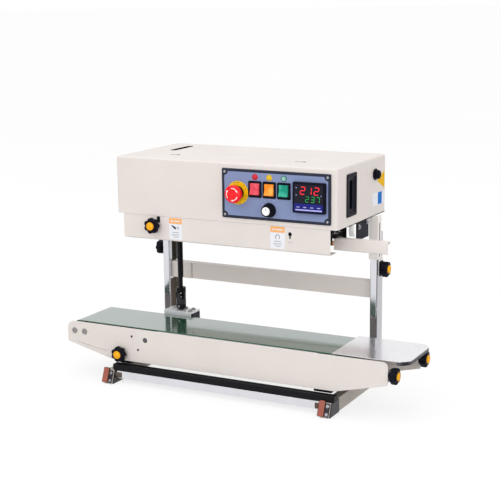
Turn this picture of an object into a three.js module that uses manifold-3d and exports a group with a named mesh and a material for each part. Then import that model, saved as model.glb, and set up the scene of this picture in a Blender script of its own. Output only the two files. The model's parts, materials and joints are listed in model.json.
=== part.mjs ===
// Continuous band sealer, bench-top, vertical type: a height-adjustable sealing head on two posts,
// over a flat-belt conveyor that stands on a two-foot base.
// Millimetres. +X towards the infeed end, +Y to the rear, +Z up. The dimensions below are laid out
// from a working centre, and the last lines shift the machine along X, so that the finished
// origin is on the floor at the centre of the machine's bounding box.
import * as THREE from "three";
import { mergeVertices } from "three/addons/utils/BufferGeometryUtils.js";
import Module from "manifold-3d";

const wasm = await Module();
wasm.setup();

// ---------------------------------------------------------------- driving dimensions
const GAP = 0.3; // between pieces that rest on one another
const PLAY = 0.4; // radial clearance of a shaft or stud in its hole
const OVERRUN = 5; // how far a cutting solid runs past the face that it cuts
const FINE = 36; // sides of a large round solid
const MEDIUM = 24;
const COARSE = 16; // sides of a small round solid

const HEAD = { x0: -330, x1: 270, y0: -114, y1: 186, z0: 432, z1: 575, wall: 2 };
const TOP_SEAM = { y: 85, width: 0.6, depth: 0.7 };
const TOP_SLOT = { x0: -268.5, x1: -249.5, y0: 39, y1: 139, corner: 8 };
const KEYHOLE = { starts: [-222, 124], length: 30, y: -33, width: 6, corner: 2.9 };
const BASE_PLATE = { z0: 432, z1: 436 };
const GUARD = { x0: -313, x1: 252, z0: 371, z1: 431.5, thickness: 1.5, flange: 36, corner: 8, inset: 1 };
const GUARD_SLOT = { x0: -214, x1: -206, z0: 414, z1: 429 };
const GUARD_KEYHOLE = { x: 149, z: 414, radius: 5, tail: 4, drop: 11 };
const END_PLATE = { x0: 267, x1: 270, y0: 4, y1: 78, z0: 386 };
const GUIDE = { x0: 230, x1: 366, y: -42, z0: 370, z1: 400, lip: 16, sheet: 2, stay: 24 };

const POST = { xs: [-330, 270], width: 20, depth: 38, y0: 113, z0: 34.3, z1: 388 };
const SLEEVE = { width: 24, y0: 110, y1: 133, wall: 1.6, z0: 321, z1: 431.7 };
const SLEEVE_SLOT = { y0: 119, y1: 125, z0: 326, z1: 412 };
const LUG = { half: 13, drop: 44, lap: 6, flange: 30, thickness: 3 };
const POST_KNOB = { y: 131, z: 296 };

const FOOT = { width: 30, y0: -186, y1: 182, height: 34 };
const FRONT_RAIL = { inset: 18, y0: -164, y1: -144, sillBottom: 14, sillTop: 33.7, z1: 50 };
const REAR_RAIL = { y0: -10, y1: 10 };
const CROSSBAR = { y0: 126, y1: 148, z0: 219, z1: 262, wall: 2 };

const CONVEYOR = { yFront: -146, yRear: 14, sheet: 1.5, z0: 57, z1: 144 };
const FRONT_PLATE = { x0: -475, x1: 410, leftCorner: 20, knobZ: 112 };
const REAR_PLATE = { x0: -464, x1: 432, leftCorner: 27, knobZ: 118.5 };
const END_RISE = { length: 132, z: 89, corner: 13 };
const END_LUG = { reach: 20, half: 15, thickness: 3 };
const BELT = { y0: -142, y1: 8, thickness: 2 };
const ROLLER = { radius: 27.7, axle: 6, proud: 0.5, z: 117, leftX: -437, rightX: 270, drumX: -240 };
const BELT_INNER = 28;
const SLIDER_BED = { x0: -204, x1: 234, depth: 8.5, drop: 0.5 };
const CARRIER = { z0: 50.4, z1: 80, width: 46, xs: [-307, 247] };
const CONVEYOR_KNOB = { x: -312, z: 76 };
const BRACKET = {
  x0: -280, x1: -196, z0: 88, z1: 156, sheet: 4,
  backX1: -200, topY: 58, cheekY: 50, cheekZ: 116,
};
const TRAY = { x0: 271, x1: 458, y0: -145, y1: 18, z: 147.5, sheet: 1.5, corner: 28, rim: 9 };

const SEAM_Y = -46; // the plane that the mouth of a bag runs in
const BAND = { radius: 28, thickness: 1.2, z0: 396, z1: 411, nip: 0.3 };
const WHEEL = { x: [-123, 170], radius: 27.7, axle: 6, flange: 2 };
const WHEEL_OFFSET = BAND.radius + BAND.thickness + BAND.nip;
const GEAR = { teeth: 20, addendum: 2.3, dedendum: 3.2, z0: 446, z1: 458 };
const HEATER = { x0: 60, x1: 140 };
const COOLER = { x0: -60, x1: 20 };
const BLOCK = { depth: 11, margin: 3, stay: 9 };
const EMBOSS = { x: -224, radius: 24.3, axle: 5, nip: 0.25 };
const EMBOSS_KNOB = { x: -224, z: 408 };

const MOTOR = { x0: -305, x1: -168, y: 118, z: 500, radius: 42 };
const REDUCER = { x0: -170, x1: -92, y0: 74, y1: 160, z0: 440, z1: 545 };

const SHAFT = { x: -240, y: 36, tube: 7.2, bore: 5.8, rod: 5.5, tubeZ0: 244, tubeZ1: 452, rodTop: 400 };
const HANGER = { radius: 13, z0: 452.5, z1: 466 };
const JOINT = {
  z: 194, hub: 13, hubLong: 13, hubGap: 9,
  tineIn: 8, tineOut: 12, tineHalf: 4.5, reach: 7, pin: 3.5,
};
const BEVEL = { near: 8, far: 16, trim: 0.4, stem: 6 };

const PANEL = { x0: -28.5, x1: 255, z0: 443, z1: 562, y0: -117, y1: -114.3, corner: 3, lap: 10 };
const BEHIND_PANEL = 12; // how far the switches reach into the head
const ESTOP = { x: 15, z: 505, collar: 28, collarDeep: 3, head: 21.5, edge: 4, deep: 14, stem: 10, rise: 32 };
const SPEED_KNOB = { x: 98, z: 468.5, radius: 19, height: 20, taper: 3, stem: 4 };
const ROCKER = {
  xs: [60.5, 98, 136], z: 516, width: 27, height: 30, rim: 4, proud: 3,
  restDegrees: 7, crown: 7, dip: 5, draft: 4,
};
const CONTROLLER = { x0: 162, x1: 244, z0: 469, z1: 541, bezel: 10, body: 57, inset: 4 };
const SIDE_HANDLE = { y0: -57, y1: -8, z0: 458, z1: 550, lip: 5, depth: 24, wall: 1.5 };

const KNOB = { lobes: 7, radius: 20, lobe: 2.4, boss: 9, neck: 5, grip: 16, cap: 4, capTop: 7.5, stud: 4 };
const STUD = { post: 1.8, emboss: 14, conveyor: 14, end: 24 };

// ---------------------------------------------------------------- materials
function paint(color, roughness, metalness) {
  return new THREE.MeshStandardMaterial({ color, roughness, metalness });
}

const CREAM = paint(0xe2dbd6, 0.45, 0.1);
const CHROME = paint(0xdcdce2, 0.12, 1);
const STEEL = paint(0xb4b6b8, 0.35, 0.9);
const ALUMINIUM = paint(0xc9cacb, 0.4, 0.9);
const COPPER = paint(0xa8694a, 0.35, 0.9);
const DARK_STEEL = paint(0x2b2c2f, 0.45, 0.6);
const BLACK_PLASTIC = paint(0x17181c, 0.4, 0);
const BELT_GREEN = paint(0x1e4d3c, 0.15, 0);
const BAND_BROWN = paint(0xb08a5c, 0.5, 0);
const RUBBER = paint(0x222222, 0.8, 0);
const PANEL_BLUE = paint(0x8490ba, 0.35, 0);
const RED = paint(0xe0202a, 0.3, 0);
const ORANGE = paint(0xe8832c, 0.3, 0);
const GREEN = paint(0x2f9c5a, 0.3, 0);
const YELLOW = paint(0xf2c01e, 0.4, 0);

// ---------------------------------------------------------------- solids
function toManifold(geometry) {
  const bare = geometry.index ? geometry.toNonIndexed() : geometry.clone();
  bare.deleteAttribute("normal");
  bare.deleteAttribute("uv");
  const merged = mergeVertices(bare, 1e-4);
  return new wasm.Manifold(
    new wasm.Mesh({
      numProp: 3,
      vertProperties: new Float32Array(merged.attributes.position.array),
      triVerts: new Uint32Array(merged.index.array),
    }),
  );
}

function toGeometry(manifold) {
  const mesh = manifold.getMesh();
  const geometry = new THREE.BufferGeometry();
  geometry.setAttribute("position", new THREE.BufferAttribute(mesh.vertProperties, 3));
  geometry.setIndex(new THREE.BufferAttribute(mesh.triVerts, 1));
  geometry.computeVertexNormals();
  return geometry;
}

function join(first, ...others) {
  return toGeometry(others.reduce((sum, other) => sum.add(toManifold(other)), toManifold(first)));
}

function cut(body, ...tools) {
  return toGeometry(tools.reduce((left, tool) => left.subtract(toManifold(tool)), toManifold(body)));
}

function between(a, b) {
  return a < b ? [a, b] : [b, a];
}

function box(x0, x1, y0, y1, z0, z1) {
  const geometry = new THREE.BoxGeometry(x1 - x0, y1 - y0, z1 - z0);
  return geometry.translate((x0 + x1) / 2, (y0 + y1) / 2, (z0 + z1) / 2);
}

// A round bar along one axis. a and b are the other two coordinates, in X, Y, Z order.
function bar(axis, radius, a, b, from, to, segments = MEDIUM, endRadius = radius) {
  const geometry = new THREE.CylinderGeometry(endRadius, radius, to - from, segments);
  const middle = (from + to) / 2;
  if (axis === "x") return geometry.rotateZ(-Math.PI / 2).translate(middle, a, b);
  if (axis === "y") return geometry.translate(a, middle, b);
  return geometry.rotateX(Math.PI / 2).translate(a, b, middle);
}

// An outline drawn in X and Z, thick from y0 to y1.
function slabXZ(shape, y0, y1, curveSegments = 8) {
  const geometry = new THREE.ExtrudeGeometry(shape, { depth: y1 - y0, bevelEnabled: false, curveSegments });
  return geometry.rotateX(Math.PI / 2).translate(0, y1, 0);
}

// An outline drawn in X and Y, thick from z0 to z1.
function slabXY(shape, z0, z1, curveSegments = 8) {
  const geometry = new THREE.ExtrudeGeometry(shape, { depth: z1 - z0, bevelEnabled: false, curveSegments });
  return geometry.translate(0, 0, z0);
}

function roundedRect(x0, x1, y0, y1, r) {
  const shape = new THREE.Shape();
  shape.moveTo(x0 + r, y0);
  shape.lineTo(x1 - r, y0);
  shape.absarc(x1 - r, y0 + r, r, -Math.PI / 2, 0);
  shape.lineTo(x1, y1 - r);
  shape.absarc(x1 - r, y1 - r, r, 0, Math.PI / 2);
  shape.lineTo(x0 + r, y1);
  shape.absarc(x0 + r, y1 - r, r, Math.PI / 2, Math.PI);
  shape.lineTo(x0, y0 + r);
  shape.absarc(x0 + r, y0 + r, r, Math.PI, 1.5 * Math.PI);
  return shape;
}

// The path of a belt round two equal wheels whose centres differ in the first coordinate.
function stadium(a0, a1, b, r, path = new THREE.Shape()) {
  path.moveTo(a0, b - r);
  path.lineTo(a1, b - r);
  path.absarc(a1, b, r, -Math.PI / 2, Math.PI / 2);
  path.lineTo(a0, b + r);
  path.absarc(a0, b, r, Math.PI / 2, 1.5 * Math.PI);
  return path;
}

function loop(a0, a1, b, inner, thickness) {
  const shape = stadium(a0, a1, b, inner + thickness);
  shape.holes.push(stadium(a0, a1, b, inner, new THREE.Path()));
  return shape;
}

const machine = new THREE.Group();

function part(name, geometry, material) {
  const mesh = new THREE.Mesh(geometry, material);
  mesh.name = name;
  machine.add(mesh);
}

// A star knob on a threaded stud. Its seat is the origin, and it stands along +Z.
function starKnob(studLength) {
  const outline = new THREE.Shape();
  const steps = KNOB.lobes * 6;
  for (let i = 0; i < steps; i += 1) {
    const angle = (2 * Math.PI * i) / steps;
    const r = KNOB.radius - KNOB.lobe + KNOB.lobe * Math.cos(KNOB.lobes * angle);
    if (i === 0) outline.moveTo(r, 0);
    else outline.lineTo(r * Math.cos(angle), r * Math.sin(angle));
  }
  outline.closePath();
  const gripTop = KNOB.neck + KNOB.grip;
  return join(
    slabXY(outline, KNOB.neck, gripTop),
    bar("z", KNOB.boss, 0, 0, 0, KNOB.neck + 1, MEDIUM),
    bar("z", KNOB.boss, 0, 0, gripTop - 1, gripTop + KNOB.cap, MEDIUM, KNOB.capTop),
    bar("z", KNOB.stud, 0, 0, -studLength, 1, COARSE),
  );
}

function knobPart(name, axis, x, y, z, studLength) {
  const knob = starKnob(studLength);
  if (axis === "-y") knob.rotateX(Math.PI / 2);
  if (axis === "+x") knob.rotateY(Math.PI / 2);
  if (axis === "-x") knob.rotateY(-Math.PI / 2);
  part(name, knob.translate(x, y, z), BLACK_PLASTIC);
}

// ---------------------------------------------------------------- base
function buildBase() {
  const half = FOOT.width / 2;
  const [left, right] = POST.xs;
  part("left_foot", box(left - half, left + half, FOOT.y0, FOOT.y1, 0, FOOT.height), CREAM);
  part("right_foot", box(right - half, right + half, FOOT.y0, FOOT.y1, 0, FOOT.height), CREAM);

  const x0 = left - half;
  const x1 = right + half;
  const seat = FOOT.height + GAP;
  // The front rail stops short of the left foot's outer side.
  const railX0 = x0 + FRONT_RAIL.inset;
  part("front_rail", box(railX0, x1, FRONT_RAIL.y0, FRONT_RAIL.y1, seat, FRONT_RAIL.z1), DARK_STEEL);
  part(
    "sill_rail",
    box(
      left + half + GAP, right - half - GAP,
      FRONT_RAIL.y0, FRONT_RAIL.y1,
      FRONT_RAIL.sillBottom, FRONT_RAIL.sillTop,
    ),
    CHROME,
  );
  part("rear_rail", box(x0, x1, REAR_RAIL.y0, REAR_RAIL.y1, seat, FRONT_RAIL.z1), DARK_STEEL);

  const postHalf = POST.width / 2;
  const postBack = POST.y0 + POST.depth;
  part("left_post", box(left - postHalf, left + postHalf, POST.y0, postBack, POST.z0, POST.z1), CHROME);
  part("right_post", box(right - postHalf, right + postHalf, POST.y0, postBack, POST.z0, POST.z1), CHROME);

  const c0 = left + postHalf + GAP;
  const c1 = right - postHalf - GAP;
  const { y0, y1, z0, z1, wall } = CROSSBAR;
  const web = box(c0, c1, y0, y0 + wall, z0, z1);
  const lips = [z0, z1 - wall].map((z) => box(c0, c1, y0, y1, z, z + wall));
  const ends = [c0, c1 - wall].map((x) => box(x, x + wall, y0, y1, z0, z1));
  part("crossbar", join(web, ...lips, ...ends), CREAM);
}

// ---------------------------------------------------------------- head shell
function buildHeadShell() {
  const { x0, x1, y0, y1, z0, z1, wall } = HEAD;
  const topSlots = [
    roundedRect(TOP_SLOT.x0, TOP_SLOT.x1, TOP_SLOT.y0, TOP_SLOT.y1, TOP_SLOT.corner),
    ...KEYHOLE.starts.map((x) => {
      const half = KEYHOLE.width / 2;
      return roundedRect(x, x + KEYHOLE.length, KEYHOLE.y - half, KEYHOLE.y + half, KEYHOLE.corner);
    }),
  ];
  const seamHalf = TOP_SEAM.width / 2;
  const shell = cut(
    box(x0, x1, y0, y1, z0, z1),
    box(x0 + wall, x1 - wall, y0 + wall, y1 - wall, z0 - OVERRUN, z1 - wall),
    box(
      PANEL.x0 + PANEL.lap, PANEL.x1 - PANEL.lap,
      y0 - OVERRUN, y0 + OVERRUN,
      PANEL.z0 + PANEL.lap, PANEL.z1 - PANEL.lap,
    ),
    box(x1 - OVERRUN, x1 + OVERRUN, SIDE_HANDLE.y0, SIDE_HANDLE.y1, SIDE_HANDLE.z0, SIDE_HANDLE.z1),
    ...topSlots.map((outline) => slabXY(outline, z1 - OVERRUN, z1 + OVERRUN)),
    box(
      x0 - OVERRUN, x1 + OVERRUN,
      TOP_SEAM.y - seamHalf, TOP_SEAM.y + seamHalf,
      z1 - TOP_SEAM.depth, z1 + OVERRUN,
    ),
  );
  part("head_cover", shell, CREAM);

  const inside = wall + GAP;
  const plate = box(x0 + inside, x1 - inside, y0 + inside, y1 - inside, BASE_PLATE.z0, BASE_PLATE.z1);
  const wheelHoles = [SEAM_Y - WHEEL_OFFSET, SEAM_Y + WHEEL_OFFSET].map((y) =>
    bar("z", WHEEL.axle + PLAY, WHEEL.x[0], y, BASE_PLATE.z0 - OVERRUN, BASE_PLATE.z1 + OVERRUN),
  );
  const shaftHole = bar(
    "z", 2 * SHAFT.tube, SHAFT.x, SHAFT.y, BASE_PLATE.z0 - OVERRUN, BASE_PLATE.z1 + OVERRUN,
  );
  part("head_base_plate", cut(plate, ...wheelHoles, shaftHole), STEEL);
}

function buildSleeve(name, x, side) {
  const { width, y0, y1, wall, z0, z1 } = SLEEVE;
  const half = width / 2;
  const channel = box(x - half, x + half, y0, y1, z0, z1);
  const bore = half - wall;
  const hollow = box(x - bore, x + bore, y0 + wall, y1 + OVERRUN, z0 - OVERRUN, z1 + OVERRUN);
  const outer = x + side * half;
  const slotX = between(outer + side, outer - side * (wall + PLAY));
  const slot = box(...slotX, SLEEVE_SLOT.y0, SLEEVE_SLOT.y1, SLEEVE_SLOT.z0, SLEEVE_SLOT.z1);
  const lugX = between(outer, outer - side * wall);
  const lug = box(...lugX, POST_KNOB.y - LUG.half, POST_KNOB.y + LUG.half, z0 - LUG.drop, z0 + LUG.lap);
  const inner = x - side * half;
  const flangeX = between(inner + side, inner - side * LUG.flange);
  const flange = box(...flangeX, y0, y1, z1 - LUG.thickness, z1);
  const studHole = bar(
    "x", KNOB.stud + PLAY, POST_KNOB.y, POST_KNOB.z, outer - OVERRUN, outer + OVERRUN, COARSE,
  );
  part(name, cut(join(cut(channel, hollow), lug, flange), slot, studHole), CREAM);
}

function buildGuard() {
  const { x0, x1, z0, z1, thickness, flange, corner, inset } = GUARD;
  const y = HEAD.y0 + inset;
  const front = y - OVERRUN;
  const back = y + OVERRUN;
  const face = slabXZ(roundedRect(x0, x1, z0, z1, corner), y, y + thickness, 4);
  const topCorners = box(x0, x1, y, y + thickness, z1 - 2 * corner, z1);
  const bottom = box(x0 + corner, x1, y, y + flange, z0, z0 + thickness);
  const slot = box(GUARD_SLOT.x0, GUARD_SLOT.x1, front, back, GUARD_SLOT.z0, GUARD_SLOT.z1);
  const { x, z, radius, tail, drop } = GUARD_KEYHOLE;
  const keyhole = bar("y", radius, x, z, front, back, COARSE);
  const keyTail = box(x - tail / 2, x + tail / 2, front, back, z - drop, z);
  const studHole = bar("y", KNOB.stud + PLAY, EMBOSS_KNOB.x, EMBOSS_KNOB.z, front, back, COARSE);
  part("front_guard", cut(join(face, topCorners, bottom), slot, keyhole, keyTail, studHole), CREAM);
}

function buildHeadTrim() {
  const under = BASE_PLATE.z0 - GAP;
  const endPlate = box(END_PLATE.x0, END_PLATE.x1, END_PLATE.y0, END_PLATE.y1, END_PLATE.z0, under);
  part("side_plate", endPlate, BLACK_PLASTIC);

  const { x0, x1, y, z0: bottom, z1: top, lip, sheet, stay } = GUIDE;
  const middle = y + lip / 2;
  const guide = join(
    box(x0, x1, y, y + sheet, bottom, top),
    box(x0, x1, y, y + lip, top - sheet, top),
    box(x0 + sheet, x0 + sheet + stay, middle, middle + 3 * sheet, top - 1, under),
  );
  part("infeed_guide", guide, CREAM);

  const { y0, y1, z0, z1, lip: edge, depth, wall } = SIDE_HANDLE;
  const face = HEAD.x1 + GAP;
  const rim = box(face, face + 2, y0 - edge, y1 + edge, z0 - edge, z1 + edge);
  const fit = 2 * GAP;
  const inner = fit + wall;
  const pan = box(face - depth, face + 1, y0 + fit, y1 - fit, z0 + fit, z1 - fit);
  const hollow = box(
    face - depth + wall, face + OVERRUN, y0 + inner, y1 - inner, z0 + inner, z1 - inner,
  );
  part("side_handle", cut(join(rim, pan), hollow), BLACK_PLASTIC);
}

// ---------------------------------------------------------------- control panel
function rockerRim(x) {
  const { z, width, height, rim } = ROCKER;
  const w = width / 2 + rim;
  const h = height / 2 + rim;
  return box(x - w, x + w, PANEL.y0 - ROCKER.proud, PANEL.y0 + 1, z - h, z + h);
}

function rockerHole(x) {
  const w = ROCKER.width / 2 + 2 * GAP;
  const h = ROCKER.height / 2 + 1;
  return box(x - w, x + w, PANEL.y0 - OVERRUN, PANEL.y1 + OVERRUN, ROCKER.z - h, ROCKER.z + h);
}

function buildPanel() {
  const outline = roundedRect(PANEL.x0, PANEL.x1, PANEL.z0, PANEL.z1, PANEL.corner);
  const plate = slabXZ(outline, PANEL.y0, PANEL.y1, 2);
  const back = PANEL.y1 + OVERRUN;
  const front = PANEL.y0 - OVERRUN;
  const { x0, x1, z0, z1, inset } = CONTROLLER;
  const holes = [
    ...ROCKER.xs.map(rockerHole),
    bar("y", ESTOP.stem + PLAY, ESTOP.x, ESTOP.z, front, back),
    bar("y", SPEED_KNOB.stem + PLAY, SPEED_KNOB.x, SPEED_KNOB.z, front, back, COARSE),
    box(x0 + inset, x1 - inset, front, back, z0 + inset, z1 - inset),
  ];
  part("control_panel", cut(join(plate, ...ROCKER.xs.map(rockerRim)), ...holes), PANEL_BLUE);

  const seat = PANEL.y0 - GAP;
  const g = inset + PLAY;
  const bezel = box(x0, x1, seat - CONTROLLER.bezel, seat, z0, z1);
  const body = box(x0 + g, x1 - g, seat - 1, seat + CONTROLLER.body, z0 + g, z1 - g);
  part("temperature_controller", join(bezel, body), BLACK_PLASTIC);

  const collar = bar("y", ESTOP.collar, ESTOP.x, ESTOP.z, seat - ESTOP.collarDeep, seat, FINE);
  const bore = bar("y", ESTOP.stem + PLAY, ESTOP.x, ESTOP.z, seat - OVERRUN, seat + OVERRUN);
  part("estop_collar", cut(collar, bore), YELLOW);
  const tip = seat - ESTOP.rise;
  const { edge, deep, head } = ESTOP;
  const behind = PANEL.y1 + BEHIND_PANEL;
  const mushroom = join(
    bar("y", head - edge, ESTOP.x, ESTOP.z, tip, tip + edge, FINE, head),
    bar("y", head, ESTOP.x, ESTOP.z, tip + edge, tip + deep, FINE, head - 1),
    bar("y", ESTOP.stem, ESTOP.x, ESTOP.z, tip + deep - 1, behind),
  );
  part("estop_button", mushroom, RED);

  const { radius, height, taper, stem } = SPEED_KNOB;
  const knob = join(
    bar("y", radius - taper, SPEED_KNOB.x, SPEED_KNOB.z, seat - height, seat, MEDIUM, radius),
    bar("y", stem, SPEED_KNOB.x, SPEED_KNOB.z, seat - 1, behind, COARSE),
  );
  part("speed_knob", knob, BLACK_PLASTIC);

  // Each rocker is a shallow V seen from the side, tipped about a pin along X.
  const names = ["rocker_red", "rocker_orange", "rocker_green"];
  const colours = [RED, ORANGE, GREEN];
  ROCKER.xs.forEach((x, i) => {
    const h = ROCKER.height / 2;
    const { crown, dip, draft } = ROCKER;
    const side = new THREE.Shape();
    side.moveTo(-h, crown);
    side.lineTo(0, dip);
    side.lineTo(h, crown);
    side.lineTo(h - draft, -dip);
    side.lineTo(draft - h, -dip);
    side.closePath();
    const paddle = new THREE.ExtrudeGeometry(side, { depth: ROCKER.width, bevelEnabled: false });
    paddle.translate(0, 0, -ROCKER.width / 2);
    // The outline's X becomes Z, its Y becomes -Y, and its depth runs along X.
    const turn = new THREE.Matrix4().makeBasis(
      new THREE.Vector3(0, 0, 1), new THREE.Vector3(0, -1, 0), new THREE.Vector3(1, 0, 0),
    );
    paddle.applyMatrix4(turn);
    paddle.rotateX(THREE.MathUtils.degToRad(-ROCKER.restDegrees));
    part(names[i], paddle.translate(x, PANEL.y0, ROCKER.z), colours[i]);
  });
}

// ---------------------------------------------------------------- sealing mechanism
function toothedGear(x, y, phase) {
  const pitch = WHEEL_OFFSET;
  const outer = pitch + GEAR.addendum;
  const root = pitch - GEAR.dedendum;
  const step = (2 * Math.PI) / GEAR.teeth;
  const outline = new THREE.Shape();
  // One tooth, as shares of the tooth pitch: a wide root and a narrow tip.
  const corners = [[-0.28, root], [-0.11, outer], [0.11, outer], [0.28, root]];
  for (let tooth = 0; tooth < GEAR.teeth; tooth += 1) {
    corners.forEach(([turn, r], i) => {
      const angle = phase + (tooth + turn) * step;
      const point = [x + r * Math.cos(angle), y + r * Math.sin(angle)];
      if (tooth === 0 && i === 0) outline.moveTo(...point);
      else outline.lineTo(...point);
    });
  }
  outline.closePath();
  return slabXY(outline, GEAR.z0, GEAR.z1);
}

function buildWheels() {
  const sides = { front: SEAM_Y - WHEEL_OFFSET, rear: SEAM_Y + WHEEL_OFFSET };
  const [driveX, idleX] = WHEEL.x;
  for (const [side, y] of Object.entries(sides)) {
    const { z0, z1 } = BAND;
    const drum = (x) => bar("z", WHEEL.radius, x, y, z0 - WHEEL.flange, z1 + WHEEL.flange, FINE);
    const axleEnd = z0 - 2 * WHEEL.flange;
    const driveAxle = bar("z", WHEEL.axle, driveX, y, axleEnd, GEAR.z1 + WHEEL.flange);
    const idleAxle = bar("z", WHEEL.axle, idleX, y, axleEnd, BASE_PLATE.z0 - GAP);
    part(`${side}_drive_wheel`, join(drum(driveX), driveAxle), ALUMINIUM);
    part(`${side}_idle_wheel`, join(drum(idleX), idleAxle), ALUMINIUM);

    const phase = side === "front" ? Math.PI / 2 : -Math.PI / 2 + Math.PI / GEAR.teeth;
    const bore = bar("z", WHEEL.axle + GAP, driveX, y, GEAR.z0 - OVERRUN, GEAR.z1 + OVERRUN);
    part(`${side}_gear`, cut(toothedGear(driveX, y, phase), bore), STEEL);

    const band = loop(driveX, idleX, y, BAND.radius, BAND.thickness);
    part(`${side}_band`, slabXY(band, z0, z1, 12), BAND_BROWN);

    // Each block presses on the run of the band that faces the seam.
    const sign = side === "front" ? -1 : 1;
    const face = SEAM_Y + sign * (BAND.nip + BAND.thickness + GAP);
    const [y0, y1] = between(face, face + sign * BLOCK.depth);
    const stay = (x) => box(x - BLOCK.stay, x + BLOCK.stay, y0 + 1, y1 - 1, z1, BASE_PLATE.z0 - GAP);
    for (const [label, span, material] of [["heating", HEATER, ALUMINIUM], ["cooling", COOLER, COPPER]]) {
      const block = box(span.x0, span.x1, y0, y1, z0 - BLOCK.margin, z1 + BLOCK.margin);
      part(`${label}_block_${side}`, join(block, stay((span.x0 + span.x1) / 2)), material);
    }

    const rollY = SEAM_Y + sign * (EMBOSS.radius + EMBOSS.nip);
    const roll = join(
      bar("z", EMBOSS.radius, EMBOSS.x, rollY, z0, z1, FINE),
      bar("z", EMBOSS.axle, EMBOSS.x, rollY, axleEnd, BASE_PLATE.z0 - GAP, COARSE),
    );
    part(side === "front" ? "emboss_wheel" : "press_wheel", roll, side === "front" ? STEEL : RUBBER);
  }
}

function buildGearMotor() {
  const motor = bar("x", MOTOR.radius, MOTOR.y, MOTOR.z, MOTOR.x0, MOTOR.x1, FINE);
  const { x0, x1, y0, y1, z0, z1 } = REDUCER;
  part("gear_motor", join(motor, box(x0, x1, y0, y1, z0, z1)), DARK_STEEL);
}

// ---------------------------------------------------------------- drive shaft to the conveyor
function yokeTines(alongX, z0, z1) {
  const { tineIn, tineOut, tineHalf } = JOINT;
  return [-1, 1].map((sign) => {
    const [a0, a1] = between(sign * tineIn, sign * tineOut);
    if (alongX) return box(SHAFT.x + a0, SHAFT.x + a1, SHAFT.y - tineHalf, SHAFT.y + tineHalf, z0, z1);
    return box(SHAFT.x - tineHalf, SHAFT.x + tineHalf, SHAFT.y + a0, SHAFT.y + a1, z0, z1);
  });
}

function buildDriveShaft() {
  const { x, y, tube, bore, rod, tubeZ0, tubeZ1, rodTop } = SHAFT;
  part("shaft_hanger", bar("z", HANGER.radius, x, y, HANGER.z0, HANGER.z1), STEEL);
  const hollow = bar("z", bore, x, y, tubeZ0 - OVERRUN, tubeZ1 - 2 * tube);
  part("shaft_tube", cut(bar("z", tube, x, y, tubeZ0, tubeZ1), hollow), DARK_STEEL);

  const { z, hub, hubLong, reach, hubGap, pin, tineIn } = JOINT;
  const upper = join(
    bar("z", rod, x, y, z + hubGap, rodTop),
    bar("z", hub, x, y, z + hubGap, z + hubGap + hubLong),
    ...yokeTines(true, z - reach, z + hubGap + 1),
    bar("x", pin, y, z, x - tineIn - 1, x + tineIn + 1, COARSE),
    bar("y", pin, x, z, y - tineIn + 2, y + tineIn - 2, COARSE),
  );
  part("shaft_rod", upper, DARK_STEEL);

  const pinionTop = ROLLER.z + BEVEL.far;
  const lower = join(
    bar("z", hub, x, y, z - hubGap - hubLong, z - hubGap),
    ...yokeTines(false, z - hubGap - 1, z + reach),
    bar("z", BEVEL.stem, x, y, pinionTop - 1, z - 2 * hubGap),
    bar(
      "z", BEVEL.near - BEVEL.trim, x, y, ROLLER.z + BEVEL.near, pinionTop, MEDIUM, BEVEL.far - BEVEL.trim,
    ),
  );
  part("bevel_shaft", lower, DARK_STEEL);
}

// ---------------------------------------------------------------- conveyor
function sidePlate(name, ends, y, inward, extraHoles) {
  const { z0, z1, sheet } = CONVEYOR;
  const { x0, x1, leftCorner, knobZ } = ends;
  const { length, z, corner } = END_RISE;
  const outline = new THREE.Shape();
  outline.moveTo(x0 + length, z0);
  outline.lineTo(x1 - length, z0);
  outline.lineTo(x1, z);
  outline.lineTo(x1, z1 - corner);
  outline.absarc(x1 - corner, z1 - corner, corner, 0, Math.PI / 2);
  outline.lineTo(x0 + leftCorner, z1);
  outline.absarc(x0 + leftCorner, z1 - leftCorner, leftCorner, Math.PI / 2, Math.PI);
  outline.lineTo(x0, z);
  outline.closePath();
  const plate = slabXZ(outline, y, y + sheet, 4);
  const axleHoles = [ROLLER.leftX, ROLLER.rightX, ROLLER.drumX].map((x) =>
    bar("y", ROLLER.axle + PLAY, x, ROLLER.z, y - OVERRUN, y + sheet + OVERRUN),
  );

  // The right end is folded inwards into a lug that holds the end knob's stud.
  const { reach, half, thickness } = END_LUG;
  const lugY = inward > 0 ? y : y + sheet - reach;
  const lug = box(x1 - thickness, x1, lugY, lugY + reach, knobZ - half, knobZ + half);
  const centre = lugY + reach / 2 + inward;
  const studHole = bar("x", KNOB.stud + PLAY, centre, knobZ, x1 - OVERRUN, x1 + OVERRUN, COARSE);
  part(name, cut(join(plate, lug), ...axleHoles, studHole, ...extraHoles), CREAM);
  return centre;
}

function roller(name, x, driven) {
  const y0 = CONVEYOR.yFront - ROLLER.proud;
  const z = ROLLER.z;
  const pieces = [bar("y", ROLLER.radius, x, z, BELT.y0 + ROLLER.proud, BELT.y1 - ROLLER.proud, FINE)];
  if (driven) {
    const far = SHAFT.y - BEVEL.far;
    const near = SHAFT.y - BEVEL.near;
    pieces.push(bar("y", ROLLER.axle, x, z, y0, far + 1));
    pieces.push(bar("y", BEVEL.far - BEVEL.trim, x, z, far, near, MEDIUM, BEVEL.near - BEVEL.trim));
  } else {
    pieces.push(bar("y", ROLLER.axle, x, z, y0, CONVEYOR.yRear + ROLLER.proud));
  }
  part(name, join(...pieces), STEEL);
}

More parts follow.
